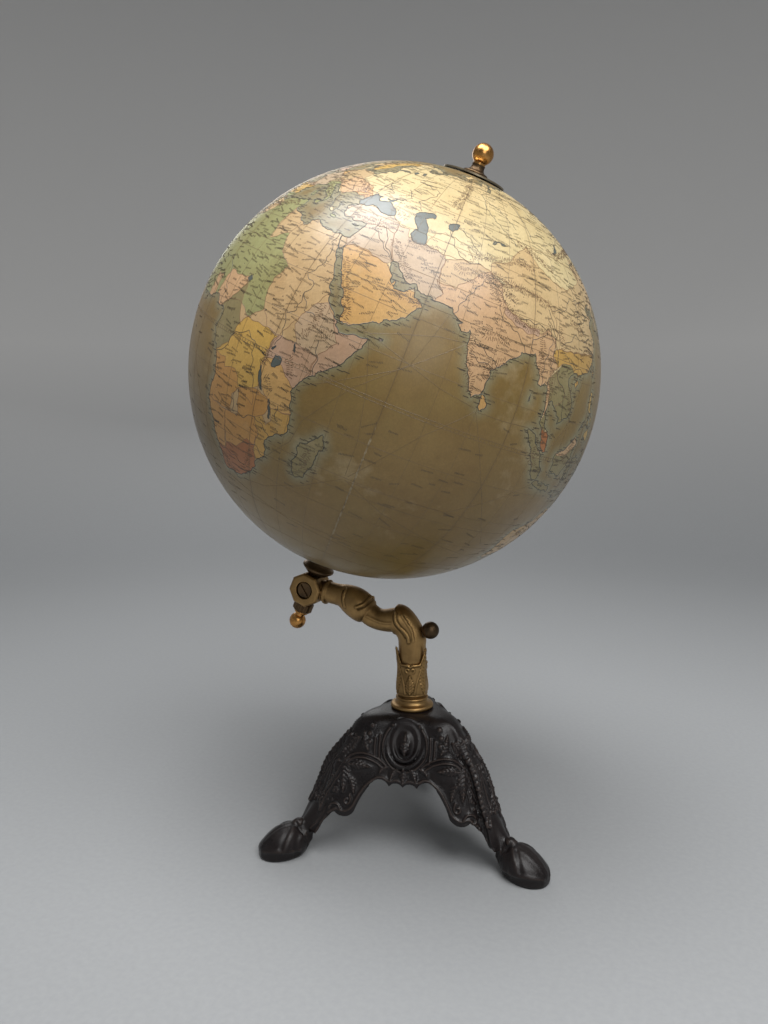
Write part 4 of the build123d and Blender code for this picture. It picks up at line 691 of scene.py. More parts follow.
def turned_wood():
    material, tree, where = start_material("turned_wood")
    along = {"Vector": where, "Rotation": (0, -TILT, 0), "Scale": (160.0, 160.0, 18.0)}
    grain = cloud(tree, add(tree, "ShaderNodeMapping", along).outputs[0], 1.0, 4.0)
    stain = patches_at(tree, where, 30.0, 0.35, 0.7)
    color = blend(tree, spread(tree, grain, 0.35, 0.65), (0.24, 0.13, 0.055, 1), (0.40, 0.25, 0.12, 1))
    color = blend(tree, times(tree, stain["Mask"], 0.4), color, (0.6, 0.5, 0.4, 1), "MULTIPLY")
    end_material(tree, color, spread(tree, grain, 0.3, 0.7, 0.5, 0.68), grain, 0.0002)
    return material


PRINT = varnished_print()
DARK_INK = printing_ink("dark_ink", (0.040, 0.030, 0.018), (0.085, 0.060, 0.032))
COAST_INK = printing_ink("coast_ink", (0.028, 0.032, 0.030), (0.060, 0.055, 0.040))
FAINT_INK = printing_ink("faint_ink", (0.130, 0.086, 0.038), (0.185, 0.120, 0.052))
HILL_INK = printing_ink("hill_ink", (0.100, 0.055, 0.026), (0.165, 0.098, 0.048))
BORDER_INK = printing_ink("border_ink", (0.170, 0.085, 0.040), (0.260, 0.150, 0.075))
IRON = black_iron()
ARM_BRASS = aged_metal("antique_brass", (0.47, 0.295, 0.12), (0.215, 0.132, 0.055),
                       38.0, 0.36, 0.66, 0.34, 0.52, 0.00018)
BALL_BRASS = aged_metal("polished_brass", (0.66, 0.34, 0.105), (0.40, 0.185, 0.055),
                        60.0, 0.42, 0.75, 0.22, 0.36, 0.00003)
DARK_BRASS = aged_metal("darkened_brass", (0.20, 0.125, 0.062), (0.075, 0.050, 0.030),
                        70.0, 0.3, 0.62, 0.30, 0.5, 0.0001)
DIAL_BRASS = aged_metal("dial_brass", (0.46, 0.39, 0.27), (0.21, 0.175, 0.12),
                        55.0, 0.34, 0.64, 0.28, 0.46, 0.00004)
STEEL = aged_metal("darkened_steel", (0.30, 0.28, 0.26), (0.11, 0.085, 0.065),
                   80.0, 0.38, 0.7, 0.3, 0.5, 0.00005)
PULP = pulp("papier_mache", (0.62, 0.56, 0.45), (0.44, 0.37, 0.26), 220.0, 0.0002)
CARD = pulp("raw_card", (0.36, 0.26, 0.155), (0.25, 0.175, 0.10), 320.0, 0.00015)
WOOD = turned_wood()

FINISHES = {
    "iron": IRON, "brass": ARM_BRASS, "polished_brass": BALL_BRASS, "steel": STEEL, "papier_mache": PULP,
    "card": CARD, "wood": WOOD, "map_paper": PRINT,
}
DARKENED = (
    "lower_nut", "top_collar", "thumb_screw", "south_seat", "north_bush", "south_bush", "rod_clamp_screw",
)
OWN_FINISHES = {"hour_dial": DIAL_BRASS, **dict.fromkeys(DARKENED, DARK_BRASS)}
for entry in frame["record"]["subparts"]:
    node_name = entry["node"]
    finish = OWN_FINISHES.get(node_name, FINISHES[entry["material_slot"]])
    for held in frame["nodes"][node_name].material_slots:
        held.material = finish


# The printed sphere.
def ramp(value, start, end):
    """Goes from 0 at the start to 1 at the end, and stays level on both sides."""
    return np.clip((value - start) / (end - start), 0, 1)


def places_of(run, closed=False):
    places = np.array(run.split(), float).reshape(-1, 2)
    return np.vstack((places, places[:1])) if closed else places


def on_globe(places, radius):
    """Puts longitude, latitude pairs on a sphere about the globe's centre."""
    turn = np.radians(places[:, :1] - EAST_LONGITUDE)
    rise = np.radians(places[:, 1:])
    out = np.cos(rise) * (np.cos(turn) * EAST + np.sin(turn) * NORTH_OF_EAST) + np.sin(rise) * AXIS
    return GLOBE_CENTRE + radius * out


def halve(places, step, move):
    """Halves the legs of a run until each is short, moving every new place a little."""
    while True:
        legs = np.diff(places, axis=0)
        # The cut from the date line round the south pole stays as it is.
        polar = (places[:-1, 1] < -75) & (np.abs(places[:-1, 0]) == 180) & (np.abs(places[1:, 0]) == 180)
        long = (np.hypot(legs[:, 0], legs[:, 1]) > step) & ~polar
        if not long.any():
            return places
        middles = move((places[:-1] + places[1:]) / 2, legs)
        places = np.insert(places, np.flatnonzero(long) + 1, middles[long], axis=0)


def ragged(places, step, wander, rng):
    """An engraver's uneven coast."""
    def move(middles, legs):
        return middles + np.stack((-legs[:, 1], legs[:, 0]), 1) * rng.normal(0, wander, len(legs))[:, None]
    return halve(places, step, move)


def winding(places, step, sway=0.18):
    """A border or river that wavers with its place, so that two runs along one line stay together."""
    fine = halve(places, step, lambda middles, legs: middles)
    lon, lat = fine.T
    return fine + sway * np.stack((np.sin(1.9 * lat + 0.8 * lon), np.sin(1.6 * lon - 1.1 * lat)), 1)


def inside(ring, places):
    """Tells which places lie in a closed ring, by counting the edges to their east."""
    lon, lat = places.T
    hit = np.zeros(len(places), bool)
    for (lon0, lat0), (lon1, lat1) in zip(ring[:-1], ring[1:]):
        crossed = (lat0 > lat) != (lat1 > lat)
        if crossed.any():
            hit[crossed] ^= lon[crossed] < lon0 + (lat[crossed] - lat0) * (lon1 - lon0) / (lat1 - lat0)
    return hit


def held_by(ring, places):
    """As inside, whichever way round the date line the ring was written."""
    hit = np.zeros(len(places), bool)
    for turn in (-360, 0, 360):
        near = places + (turn, 0)
        if near[:, 0].max() > ring[:, 0].min() and near[:, 0].min() < ring[:, 0].max():
            hit |= inside(ring, near)
    return hit


SEED = 1887
draw = np.random.default_rng(SEED)
# Longest legs of coasts and borders, in degrees, and how far a coast wanders, as a share of its legs.
COAST_STEP, COAST_WANDER, BORDER_STEP = 0.55, 0.09, 1.0
COASTS = {name: ragged(places_of(run, True), COAST_STEP, COAST_WANDER, draw) for name, run in LANDS.items()}
SHORES = {name: ragged(places_of(run, True), COAST_STEP, COAST_WANDER, draw) for name, run in LAKES.items()}
BORDERS = [(wash, winding(places_of(run, True), BORDER_STEP)) for wash, run in COUNTRIES]

# Lands that are divided into countries.
DIVIDED = ("africa", "eurasia", "north_america", "south_america", "australia", "borneo", "new_guinea")
# How far the shoal's tint reaches from a coast, how it falls off and how strong it is.
SHORE_REACH, SHORE_FALL, SHORE_TINT = 8.0 * MM, 1.3, 0.85
shore_points = on_globe(np.vstack(list(COASTS.values())), GLOBE_R)
shore_tree = KDTree(len(shore_points))
for index, point in enumerate(shore_points):
    shore_tree.insert(point, index)
shore_tree.balance()


def washes_at(places):
    """The printed wash at each place, and whether it is land."""
    names = np.full(len(places), "sea", dtype=object)
    land = np.zeros(len(places), bool)
    for name, ring in COASTS.items():
        held = held_by(ring, places) & ~land
        names[held] = LAND_WASH.get(name, PLAIN_WASH)
        land |= held
    open_land = land.copy()
    mainland = np.zeros(len(places), bool)
    for name in DIVIDED:
        mainland |= held_by(COASTS[name], places)
    for wash, ring in BORDERS:
        held = open_land & mainland & held_by(ring, places)
        names[held] = wash
        open_land &= ~held
    for ring in SHORES.values():
        held = land & held_by(ring, places)
        names[held] = "lake"
        land &= ~held
    return names, land


def linked(name, data):
    holder = bpy.data.objects.new(name, data)
    bpy.context.scene.collection.objects.link(holder)
    return holder


def as_mesh(holder):
    """The mesh that an object's modifiers make; the object itself is taken away."""
    mesh = bpy.data.meshes.new_from_object(holder.evaluated_get(bpy.context.evaluated_depsgraph_get()))
    bpy.data.objects.remove(holder)
    return mesh


def store_values(mesh, name, values):
    """Keeps one number for each point of a mesh."""
    mesh.attributes.new(name, "FLOAT", "POINT").data.foreach_set("value", values.astype(np.float32))


def add_piece(name, mesh, body, replaced=()):
    piece = linked(name, mesh)
    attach(piece, body)
    if replaced:
        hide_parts(*replaced)


def cut_sheet(flat, edges, keep):
    """Cuts a flat sheet into triangles along its edges, and keeps those whose middles are wanted."""
    cut = delaunay_2d_cdt([Vector(p) for p in flat.tolist()], edges.tolist(), [], 0, 1e-7)
    flat = np.array([v[:] for v in cut[0]])
    triangles = np.array(cut[2])
    triangles = triangles[keep(flat[triangles].mean(1))]
    used, triangles = np.unique(triangles, return_inverse=True)
    return flat[used], triangles.reshape(-1, 3)


def washed(names, land, outer, triangles):
    """The colour at each triangle's corners, with the shoal's tint in the water along the coasts."""
    shore = np.array([shore_tree.find(p)[2] for p in outer])
    shore = np.clip(1 - shore / SHORE_REACH, 0, 1) ** SHORE_FALL
    colors = np.array([WASHES[n] for n in names])[:, None, :].repeat(3, 1)
    fringe = shore[triangles][:, :, None] * ~(land | (names == "lake"))[:, None, None] * SHORE_TINT
    return colors * (1 - fringe) + np.array(WASHES["shoal"]) * fringe


def rim_walls(triangles, count):
    """Faces that join the rims of an outer skin and of its inner copy, count points later."""
    legs = np.vstack((triangles[:, [0, 1]], triangles[:, [1, 2]], triangles[:, [2, 0]]))
    paired = {(b, a) for a, b in legs.tolist()}
    rim = np.array([leg for leg in legs.tolist() if tuple(leg) not in paired])
    return np.column_stack((rim[:, 0], rim[:, 0] + count, rim[:, 1] + count, rim[:, 1]))


def set_paper_normals(mesh, radial, triangles):
    """Makes both skins shade as true spheres and their rims as flat walls."""
    normals = np.zeros((len(mesh.loops), 3))
    normals[:triangles.size] = radial[triangles.ravel()]
    normals[triangles.size:2 * triangles.size] = -radial[triangles[:, ::-1].ravel()]
    mesh.polygons.foreach_set("use_smooth", np.ones(len(mesh.polygons), bool))
    walls = np.array([mesh.polygons[i].normal for i in range(2 * len(triangles), len(mesh.polygons))])
    normals[2 * triangles.size:] = walls.repeat(4, 0)
    mesh.normals_split_custom_set(normals.tolist())


def lay_paper(node, flat, edges, keep, to_places, seam_of, shrink):
    """One printed sheet: cut along its outlines, washed, laid on the sphere and given its thickness."""
    flat, triangles = cut_sheet(flat, edges, keep)
    places = to_places(flat)
    names, land = washes_at(to_places(flat[triangles].mean(1)))
    count = len(places)
    outer = on_globe(shrink(places), GLOBE_R)
    inner = on_globe(shrink(places), GLOBE_R - PAPER)
    first, second, third = (outer[corner] for corner in triangles.T)
    facing = (np.cross(second - first, third - first) * (first - GLOBE_CENTRE)).sum(1)
    triangles[facing < 0] = triangles[facing < 0][:, ::-1]
    walls = rim_walls(triangles, count)
    mesh = bpy.data.meshes.new(node + "_print")
    faces = triangles.tolist() + (triangles[:, ::-1] + count).tolist() + walls.tolist()
    mesh.from_pydata(np.vstack((outer, inner)).tolist(), [], faces)
    corners = np.full((len(mesh.loops), 4), 1.0)
    corners[:, :3] = WASHES["sea"]
    corners[:triangles.size, :3] = washed(names, land, outer, triangles).reshape(-1, 3)
    mesh.attributes.new("wash", "FLOAT_COLOR", "CORNER").data.foreach_set("color", corners.ravel())
    store_values(mesh, "seam", np.tile(seam_of(places), 2))
    store_values(mesh, "torn", np.tile(torn_at(places), 2))
    set_paper_normals(mesh, (outer - GLOBE_CENTRE) / GLOBE_R, triangles)
    mesh.materials.append(PRINT)
    add_piece(node + "_print", mesh, "globe", (node,))


def legs_near(lines, project, low, high):
    """The legs of printed lines that touch a window of the flat sheet, as points and pairs."""
    starts, ends = [], []
    for line in lines:
        for turn in (-360, 0, 360):
            flat = project(line + (turn, 0))
            first, last = flat[:-1], flat[1:]
            near = (np.maximum(first, last) > low).all(1) & (np.minimum(first, last) < high).all(1)
            starts.append(first[near])
            ends.append(last[near])
    starts, ends = np.vstack(starts), np.vstack(ends)
    pairs = np.arange(len(starts))
    return np.vstack((starts, ends)), np.column_stack((pairs, pairs + len(starts)))


def closed_loop(points, offset):
    order = np.arange(len(points)) + offset
    return np.column_stack((order, np.roll(order, -1)))


PRINTED = [*COASTS.values(), *SHORES.values(), *(ring for _, ring in BORDERS)]
MM_PER_DEGREE = GLOBE_R / MM * math.pi / 180
# Gap between two gores and how far from it the paper is drawn back, in millimetres.
SEAM_GAP, SEAM_PULL = 0.04, 1.5
# The join that has opened: its longitude, its ends in degrees and its widest gap in millimetres.
CRACK_LONGITUDE, CRACK_SOUTH, CRACK_NORTH, CRACK_GAP = 60, -46, -8, 0.42


def gap_at(longitude, latitudes):
    """Width in millimetres of the gap between two gores."""
    if (longitude - CRACK_LONGITUDE) % 360:
        return np.full(len(latitudes), SEAM_GAP)
    along = ramp(latitudes, CRACK_SOUTH, CRACK_NORTH)
    uneven = 0.75 + 0.25 * np.sin(latitudes * 2.1) * np.sin(latitudes * 0.9)
    return SEAM_GAP + CRACK_GAP * np.sin(math.pi * along) ** 0.6 * uneven


def torn_at(places):
    """Millimetres from the open join's torn edges, growing past its ends."""
    east = np.abs((places[:, 0] - CRACK_LONGITUDE + 180) % 360 - 180)
    sideways = east * np.cos(np.radians(places[:, 1])) * MM_PER_DEGREE
    beyond = np.maximum(np.maximum(CRACK_SOUTH - places[:, 1], places[:, 1] - CRACK_NORTH), 0) * 0.12
    return sideways + beyond


def lay_gore(number):
    west = (FIRST_GORE_LONGITUDE + GORE_WIDTH * number + 180) % 360 - 180
    east, top = west + GORE_WIDTH, CALOTTE_LATITUDE
    across = np.arange(west, east, 1.0)
    up = np.arange(-top, top, 1.0)
    south, north = np.full(len(across), -top), np.full(len(across), top)
    rim = np.vstack((
        np.column_stack((across, south)), np.column_stack((np.full(len(up), east), up)),
        np.column_stack((across + 1, north))[::-1], np.column_stack((np.full(len(up), west), up + 1))[::-1],
    ))
    grid = np.stack(np.meshgrid(across[1:], up[1:]), -1).reshape(-1, 2)
    grid[:, 0] += np.where(np.round(grid[:, 1]) % 2, 0.25, -0.25)
    low, high = np.array((west, -top)), np.array((east, top))
    lines, pairs = legs_near(PRINTED, lambda places: places, low, high)
    flat = np.vstack((rim, lines, grid))
    edges = np.vstack((closed_loop(rim, 0), pairs + len(rim)))

    def seam_of(places):
        narrow = np.cos(np.radians(places[:, 1])) * MM_PER_DEGREE
        sides = np.minimum(places[:, 0] - west, east - places[:, 0]) * narrow
        return np.maximum(np.minimum(sides, (top - np.abs(places[:, 1])) * MM_PER_DEGREE), 0)

    def shrink(places):
        narrow = np.cos(np.radians(places[:, 1])) * MM_PER_DEGREE
        moved = places.copy()
        for edge, inward in ((west, 1), (east, -1)):
            nearness = np.clip(1 - np.abs(places[:, 0] - edge) * narrow / SEAM_PULL, 0, 1)
            moved[:, 0] += inward * nearness * gap_at(edge, places[:, 1]) / 2 / narrow
        return moved

    def keep(middles):
        return ((middles > low) & (middles < high)).all(1)

    lay_paper(f"gore_{number + 1:02d}", flat, edges, keep, lambda places: places, seam_of, shrink)


def lay_calotte(node, side):
    """A round cap over the gores' ends, drawn flat around its pole."""
    outer, inner = 90 - CALOTTE_LATITUDE, math.degrees(math.asin(BUSH_HOLE / GLOBE_R))

    def project(places):
        reach, turn = 90 - side * places[:, 1], np.radians(places[:, 0])
        return np.column_stack((reach * np.cos(turn), reach * np.sin(turn)))

    def to_places(flat):
        turn = np.degrees(np.arctan2(flat[:, 1], flat[:, 0]))
        return np.column_stack((turn, side * (90 - np.hypot(*flat.T))))

    def ring_at(reach, turns):
        return project(np.column_stack((turns, np.full(len(turns), side * (90 - reach)))))

    turns = np.arange(0, 360, 2.0)
    rim, hole = ring_at(outer, turns), ring_at(inner, turns)
    grid = np.vstack([ring_at(reach, turns[::2] + reach) for reach in range(4, outer)])
    near_pole = [line for line in PRINTED if (side * line[:, 1]).max() > 90 - outer]
    near_pole = [line[(side * line[:, 1] > 60) & (side * line[:, 1] < 90)] for line in near_pole]
    reach = np.full(2, outer)
    lines, pairs = legs_near([line for line in near_pole if len(line) > 1], project, -reach, reach)
    short = np.linalg.norm(lines[pairs[:, 0]] - lines[pairs[:, 1]], axis=1) < 3
    flat = np.vstack((rim, hole, lines, grid))
    edges = np.vstack((closed_loop(rim, 0), closed_loop(hole, len(rim)), pairs[short] + len(rim) + len(hole)))
    limit = outer * math.cos(math.radians(1)), inner

    def seam_of(places):
        return np.maximum((outer - (90 - side * places[:, 1])) * MM_PER_DEGREE, 0)

    def keep(middles):
        reach = np.hypot(*middles.T)
        return (reach < limit[0]) & (reach > limit[1])

    lay_paper(node, flat, edges, keep, to_places, seam_of, lambda places: places)


for number in range(12):
    lay_gore(number)
lay_calotte("north_calotte", 1)
lay_calotte("south_calotte", -1)


# Cast pieces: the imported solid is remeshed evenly, and the founder's ornament is raised on it.
PANEL_TURN = 41.5
# Heights of the ornament drawings start this far under the floor, in millimetres.
DRAWING_DATUM = 5.0


def remeshed(node, voxel, smoothing):
    """An even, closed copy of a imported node's mesh, as points, faces and neighbouring pairs."""
    mesh = frame["nodes"][node].data.copy()
    work = bmesh.new()
    work.from_mesh(mesh)
    bmesh.ops.remove_doubles(work, verts=work.verts, dist=0.002 * MM)
    work.to_mesh(mesh)
    work.free()
    holder = linked("even", mesh)
    step = holder.modifiers.new("even", "REMESH")
    step.mode, step.voxel_size, step.adaptivity = "VOXEL", voxel * MM, 0.0
    even = as_mesh(holder)
    points = np.empty(len(even.vertices) * 3, np.float32)
    even.vertices.foreach_get("co", points)
    pairs = np.empty(len(even.edges) * 2, np.int32)
    even.edges.foreach_get("vertices", pairs)
    points, pairs = points.reshape(-1, 3).astype(float), pairs.reshape(-1, 2)
    for _ in range(smoothing):
        points += 0.5 * (average(points, pairs) - points)
        points -= 0.5 * (average(points, pairs) - points) * 0.98
    return even, points, pairs


def average(values, pairs):
    """Each point's mean over its neighbours."""
    first, second = pairs.T
    size = len(values)
    count = np.bincount(pairs.ravel(), minlength=size)
    total = [np.bincount(first, c[second], size) + np.bincount(second, c[first], size)
             for c in values.reshape(size, -1).T]
    return (np.array(total) / np.maximum(count, 1)).T.reshape(values.shape)


def fold(points):
    """Brings every side of the casting onto half of one panel: across, out and up, in millimetres."""
    x, y, z = points.T / MM
    turn = np.radians(np.abs((np.degrees(np.arctan2(y, x)) - PANEL_TURN + 60) % 120 - 60))
    reach = np.hypot(x, y)
    return np.column_stack((reach * np.sin(turn), reach * np.cos(turn), z + DRAWING_DATUM))


def leg_view(folded):
    """The same folded points seen from the side of a leg: out along the leg, sideways and up."""
    across, out, up = folded.T
    half, whole = math.cos(math.radians(60)), math.sin(math.radians(60))
    return np.column_stack((out * half + across * whole, np.abs(out * whole - across * half), up))


def distances(run):
    """How far along a run each of its points lies."""
    return np.concatenate(((0,), np.cumsum(np.linalg.norm(np.diff(run, axis=0), axis=1))))


def fine_run(run, step=0.5):
    run = np.array(run, float)
    far = distances(run)
    spots = np.linspace(0, far[-1], max(2, int(far[-1] / step)))
    return np.column_stack([np.interp(spots, far, column) for column in run.T])


def smooth_run(run, rounds=2):
    """Rounds a run's corners by cutting them."""
    run = np.array(run, float)
    for _ in range(rounds):
        cuts = np.stack((run[:-1] * 0.75 + run[1:] * 0.25, run[:-1] * 0.25 + run[1:] * 0.75), 1)
        run = np.vstack((run[:1], cuts.reshape(-1, run.shape[1]), run[-1:]))
    return run


def rounded(gap, half):
    """Cross-section of a ridge: 1 in its middle, and 0 at its half width."""
    return np.clip(1 - (gap / half) ** 2, 0, 1) ** 1.2


class Carving:
    """Raises ornament on a surface, given in flat drawing coordinates and found again on the solid."""

    def __init__(self, solid, drawing, facing):
        self.solid, self.drawing, self.facing = solid.astype(np.float32), drawing.astype(np.float32), facing
        self.height = np.zeros(len(solid))

    def trace(self, run):
        """The solid's points under a drawn run."""
        found = []
        shown, places = self.drawing[self.facing], self.solid[self.facing]
        for spot in fine_run(smooth_run(run)):
            found.append(places[np.square(shown - spot.astype(np.float32)).sum(1).argmin()])
        traced = np.array(found)
        for _ in range(3):
            traced[1:-1] = (traced[:-2] + 2 * traced[1:-1] + traced[2:]) / 4
        return traced

    def near(self, traced, reach):
        """Which points lie near a traced run, how far from it, and how far along it."""
        low, high = traced.min(0) - reach, traced.max(0) + reach
        close = np.flatnonzero(((self.solid > low) & (self.solid < high)).all(1) & self.facing)
        gaps = np.sqrt(np.square(self.solid[close, None] - traced[None]).sum(2))
        best = gaps.argmin(1)
        along = distances(traced)
        return close, gaps[np.arange(len(close)), best], along[best], along[-1]

    def lift(self, close, amount):
        self.height[close] = np.maximum(self.height[close], amount)

    def ridge(self, run, half, height):
        close, gap, _, _ = self.near(self.trace(run), half + 1)
        self.lift(close, height * rounded(gap, half))

    def moulding(self, run, apart, half, height):
        """Two ridges side by side."""
        close, gap, _, _ = self.near(self.trace(run), apart + half + 1)
        self.lift(close, height * rounded(gap - apart, half))

    def groove(self, run, half, depth):
        close, gap, _, _ = self.near(self.trace(run), half + 1)
        self.height[close] -= depth * rounded(gap, half)

    def beads(self, run, spacing, radius, height):
        traced = self.trace(run)
        along = distances(traced)
        spots = np.arange(spacing / 2, along[-1], spacing)
        centres = np.column_stack([np.interp(spots, along, column) for column in traced.T])
        close, gap, _, _ = self.near(centres, radius + 1)
        self.lift(close, height * np.sqrt(np.clip(1 - (gap / radius) ** 2, 0, 1)))

    def leaf(self, run, half, height, veins):
        """A pointed leaf along a run, crowned, with a midrib and slanting side veins."""
        traced = self.trace(run)
        close, gap, along, length = self.near(traced, half + 1)
        part = along / length
        width = half * np.clip(np.sin(math.pi * np.clip(part, 0.02, 1) ** 0.7), 0, 1)
        width = width * (1 + 0.12 * np.cos(2 * math.pi * along / veins))
        crown = np.sqrt(np.clip(1 - (gap / np.maximum(width, 0.05)) ** 2, 0, 1))
        folds = 0.84 + 0.16 * np.cos(2 * math.pi * (along - 0.8 * gap) / veins)
        midrib = 0.35 * np.clip(1 - gap / 0.9, 0, 1)
        self.lift(close, height * crown * (folds + midrib))


def surface_normals(even, points):
    even.vertices.foreach_set("co", points.astype(np.float32).ravel())
    even.update()
    normals = np.empty(len(points) * 3, np.float32)
    even.vertex_normals.foreach_get("vector", normals)
    return normals.reshape(-1, 3).astype(float)


# The relief value is the height over the surroundings: rounds of averaging, and millimetres for a full value.
RELIEF_ROUNDS, FULL_RELIEF = 14, 0.38


def cast_piece(node, name, even, points, pairs, height, body, material, target, floor=None):
    """Moves the points out by the carved height, thins the mesh and keeps the relief for the finish."""
    points = points + surface_normals(even, points) * height[:, None] * MM
    if floor is not None:
        points[:, 2] = np.maximum(points[:, 2], floor)
    blurred = height.copy()
    for _ in range(RELIEF_ROUNDS):
        blurred = average(blurred, pairs)
    relief = np.clip((height - blurred) / FULL_RELIEF, -1, 1)
    even.vertices.foreach_set("co", points.astype(np.float32).ravel())
    store_values(even, "relief", relief)
    even.polygons.foreach_set("use_smooth", np.ones(len(even.polygons), bool))
    even.update()
    holder = linked("dense", even)
    thin = holder.modifiers.new("thin", "DECIMATE")
    thin.ratio = min(1.0, target / (2 * len(even.polygons)))
    mesh = as_mesh(holder)
    mesh.name = name
    mesh.materials.clear()
    mesh.materials.append(material)
    add_piece(name, mesh, body, (node,))


def soften(points, pairs, share, rounds):
    """Rounds the edges of a cast surface, more where the share is higher."""
    for _ in range(rounds):
        points = points + 0.5 * share[:, None] * (average(points, pairs) - points)
    return points


# Ornament of one half panel: across and up, in millimetres from the panel's middle and the drawing's datum.
# A ridge or groove is its run, half width and height; a leaf has the spacing of its veins as well.
APRON_EDGE = ((0, 69), (5.6, 71.8), (11.3, 69.2), (19, 74), (29.4, 67.6), (36.8, 56.8), (40.4, 48.8),
              (47.5, 44.6), (54.6, 47.8), (62.5, 40), (70, 24))
ARCH_BAND = ((16.5, 80.5), (22, 84.5), (31.5, 88.4), (39, 87.6), (44, 84.6), (49, 79), (52, 74), (57, 66),
             (62, 58), (66.6, 50.7), (69.5, 43))
PEARL_LINE = ((53.5, 82), (56.4, 77.4), (60.5, 69), (64.7, 58.7), (68, 50))
# The outer frame of the cartouche: the oval's half width, its middle and its half height.
OVAL_WIDE, OVAL_MIDDLE, OVAL_TALL = 18.3, 95.5, 18.6
OVAL_FRAME = [(OVAL_WIDE * math.cos(turn), OVAL_MIDDLE + OVAL_TALL * math.sin(turn))
              for turn in np.radians(np.arange(-90, 66, 12))]
PANEL_RIDGES = (
    (OVAL_FRAME, 1.5, 1.3),
    (APRON_EDGE, 1.5, 1.0),
    (((57.2, 83), (60, 77.5), (64, 69), (68, 58.7), (71, 50)), 1.0, 0.8),
    (((20.8, 103), (21.2, 93), (20.6, 84)), 1.2, 1.3),
    (((24.6, 101), (24.9, 93), (24.2, 87.5)), 1.1, 1.1),
    (((43, 58), (41.6, 54), (44, 50.5), (47.5, 52), (46.6, 55.5), (44.6, 55)), 1.15, 1.2),
    (((50, 46.5), (52.5, 50.5), (57.5, 50), (60.5, 45.5), (58, 43), (55.6, 45.2)), 1.2, 1.3),
)
PANEL_LEAVES = (
    (((38, 99.5), (44, 96), (52, 86)), 5.6, 1.9, 3.4),
    (((30, 92), (33, 98), (34, 106)), 3.4, 1.4, 2.8),
    (((48.3, 83), (48.8, 72), (48.6, 58)), 5.0, 1.7, 3.4),
    (((45, 80), (38, 81.5), (27, 79.5)), 3.8, 1.5, 3.0),
    (((45.5, 72), (41, 68), (39.5, 58)), 3.2, 1.3, 2.8),
    (((52.5, 68), (56, 60), (58, 50)), 3.2, 1.4, 2.8),
    (((0, 80.5), (0, 75), (0, 68)), 3.6, 1.5, 2.6),
    (((5, 80.5), (8.5, 76), (11, 69.5)), 3.0, 1.3, 2.4),
    (((13, 80), (17.5, 79), (20, 74.5)), 2.8, 1.3, 2.4),
    (((0, 90.5), (0, 97), (0, 105.5)), 4.4, 1.3, 2.4),
)
PANEL_STUDS = ((27.5, 110), (29.5, 104.5), (29, 98.6))
# The double moulding over the arch and the pearls beside the leg.
ARCH_APART, ARCH_HALF_WIDTH, ARCH_HEIGHT = 1.7, 1.35, 1.5
PEARL_SPACING, PEARL_RADIUS, PEARL_HEIGHT = 2.9, 1.55, 1.35
STUD_RADIUS, STUD_HEIGHT = 2.1, 1.2
# A run this long holds one bead.
SINGLE_BEAD = 1.4
# Ornament of a leg and its hoof: out from the stand's axis and up.
LEG_RIDGES = (
    (((57, 105), (64.5, 90), (71.5, 75), (78, 60), (82, 49)), 1.3, 0.8),
    (((53, 103), (60, 90), (67, 76), (73, 62), (77, 52)), 1.2, 0.6),
    (((80, 46), (86, 35.5), (93, 27), (97, 22)), 1.6, 0.5),
    (((105, 29.4), (114.5, 28), (123, 23.5), (129.5, 18), (133, 13.4)), 3.0, 0.4),
    (((106.4, 28.3), (112, 23.3), (115.2, 16.2)), 3.2, 0.6),
    (((103, 13.2), (112, 14.8), (120, 15.4), (127, 14.6), (132.6, 12.4)), 2.2, 0.4),
)
LEG_LEAVES = (
    (((60, 104), (66, 94), (71, 86)), 6.4, 1.7, 5.2),
    (((70, 88), (75.5, 77), (79.5, 67.5)), 5.8, 1.6, 4.6),
    (((79, 69), (83.5, 58.5), (87.5, 47)), 5.0, 1.3, 4.0),
)
LEG_GROOVES = (
    (((93, 9), (95.5, 17), (99, 24), (102.5, 29.5)), 1.7, 0.6),
    (((82, 41), (88, 31), (95, 23)), 1.2, 0.4),
    (((109.4, 28), (113.9, 25), (117.3, 21), (119, 17.2)), 2.4, 0.4),
    (((101, 26.6), (106, 21), (106, 8)), 3.2, 0.6),
    (((104, 9.6), (112, 10.4), (120, 10.8), (127, 10.4), (131.5, 9.6)), 3.4, 0.7),
)
# The knob on top of the fetlock: its place on the leg, its radius and its height.
KNOB, KNOB_RADIUS, KNOB_HEIGHT = ((100.8, 31.8), (102, 31.2)), 5.2, 1.8
# Half width of the softened crest of a leg, rounds of softening, and a scale for all the tripod's ornament.
CREST_HALF_WIDTH, SOFT_ROUNDS, ORNAMENT_SCALE = 5.0, 60, 1.2
# Triangles kept in each cast piece.
TRIPOD_FACES, ARM_FACES, CUP_FACES = 190000, 150000, 90000
# The bell of the casting: crests drawn in, flanks swelled beside them, and the top edge let down.
CREST_SHARE, FLANK_SHARE, EDGE_DROP = -0.07, 0.08, 5.5
# Turn from a leg to its flank, and how far crest and flank spread, in degrees.
FLANK_TURN, CREST_SPREAD, FLANK_SPREAD = 22.0, 9, 10


def swell_bell(points):
    """Rounds the casting's shoulders into a bell, and leaves the collar's seat, the panels and the feet."""
    out, side, up = leg_view(fold(points)).T
    reach, turn = np.hypot(out, side), np.degrees(np.arctan2(side, out))
    flank = FLANK_SHARE * np.exp(-((turn - FLANK_TURN) / FLANK_SPREAD) ** 2) * ramp(up, 66, 88)
    share = CREST_SHARE * np.exp(-(turn / CREST_SPREAD) ** 2) * ramp(up, 30, 58) + flank
    share *= ramp(reach, 28, 42)
    drop = EDGE_DROP * ramp(reach, 32, 58) ** 2 * ramp(up, 80, 96)
    points = points.copy()
    points[:, :2] *= 1 + share[:, None]
    points[:, 2] -= drop * MM
    return points


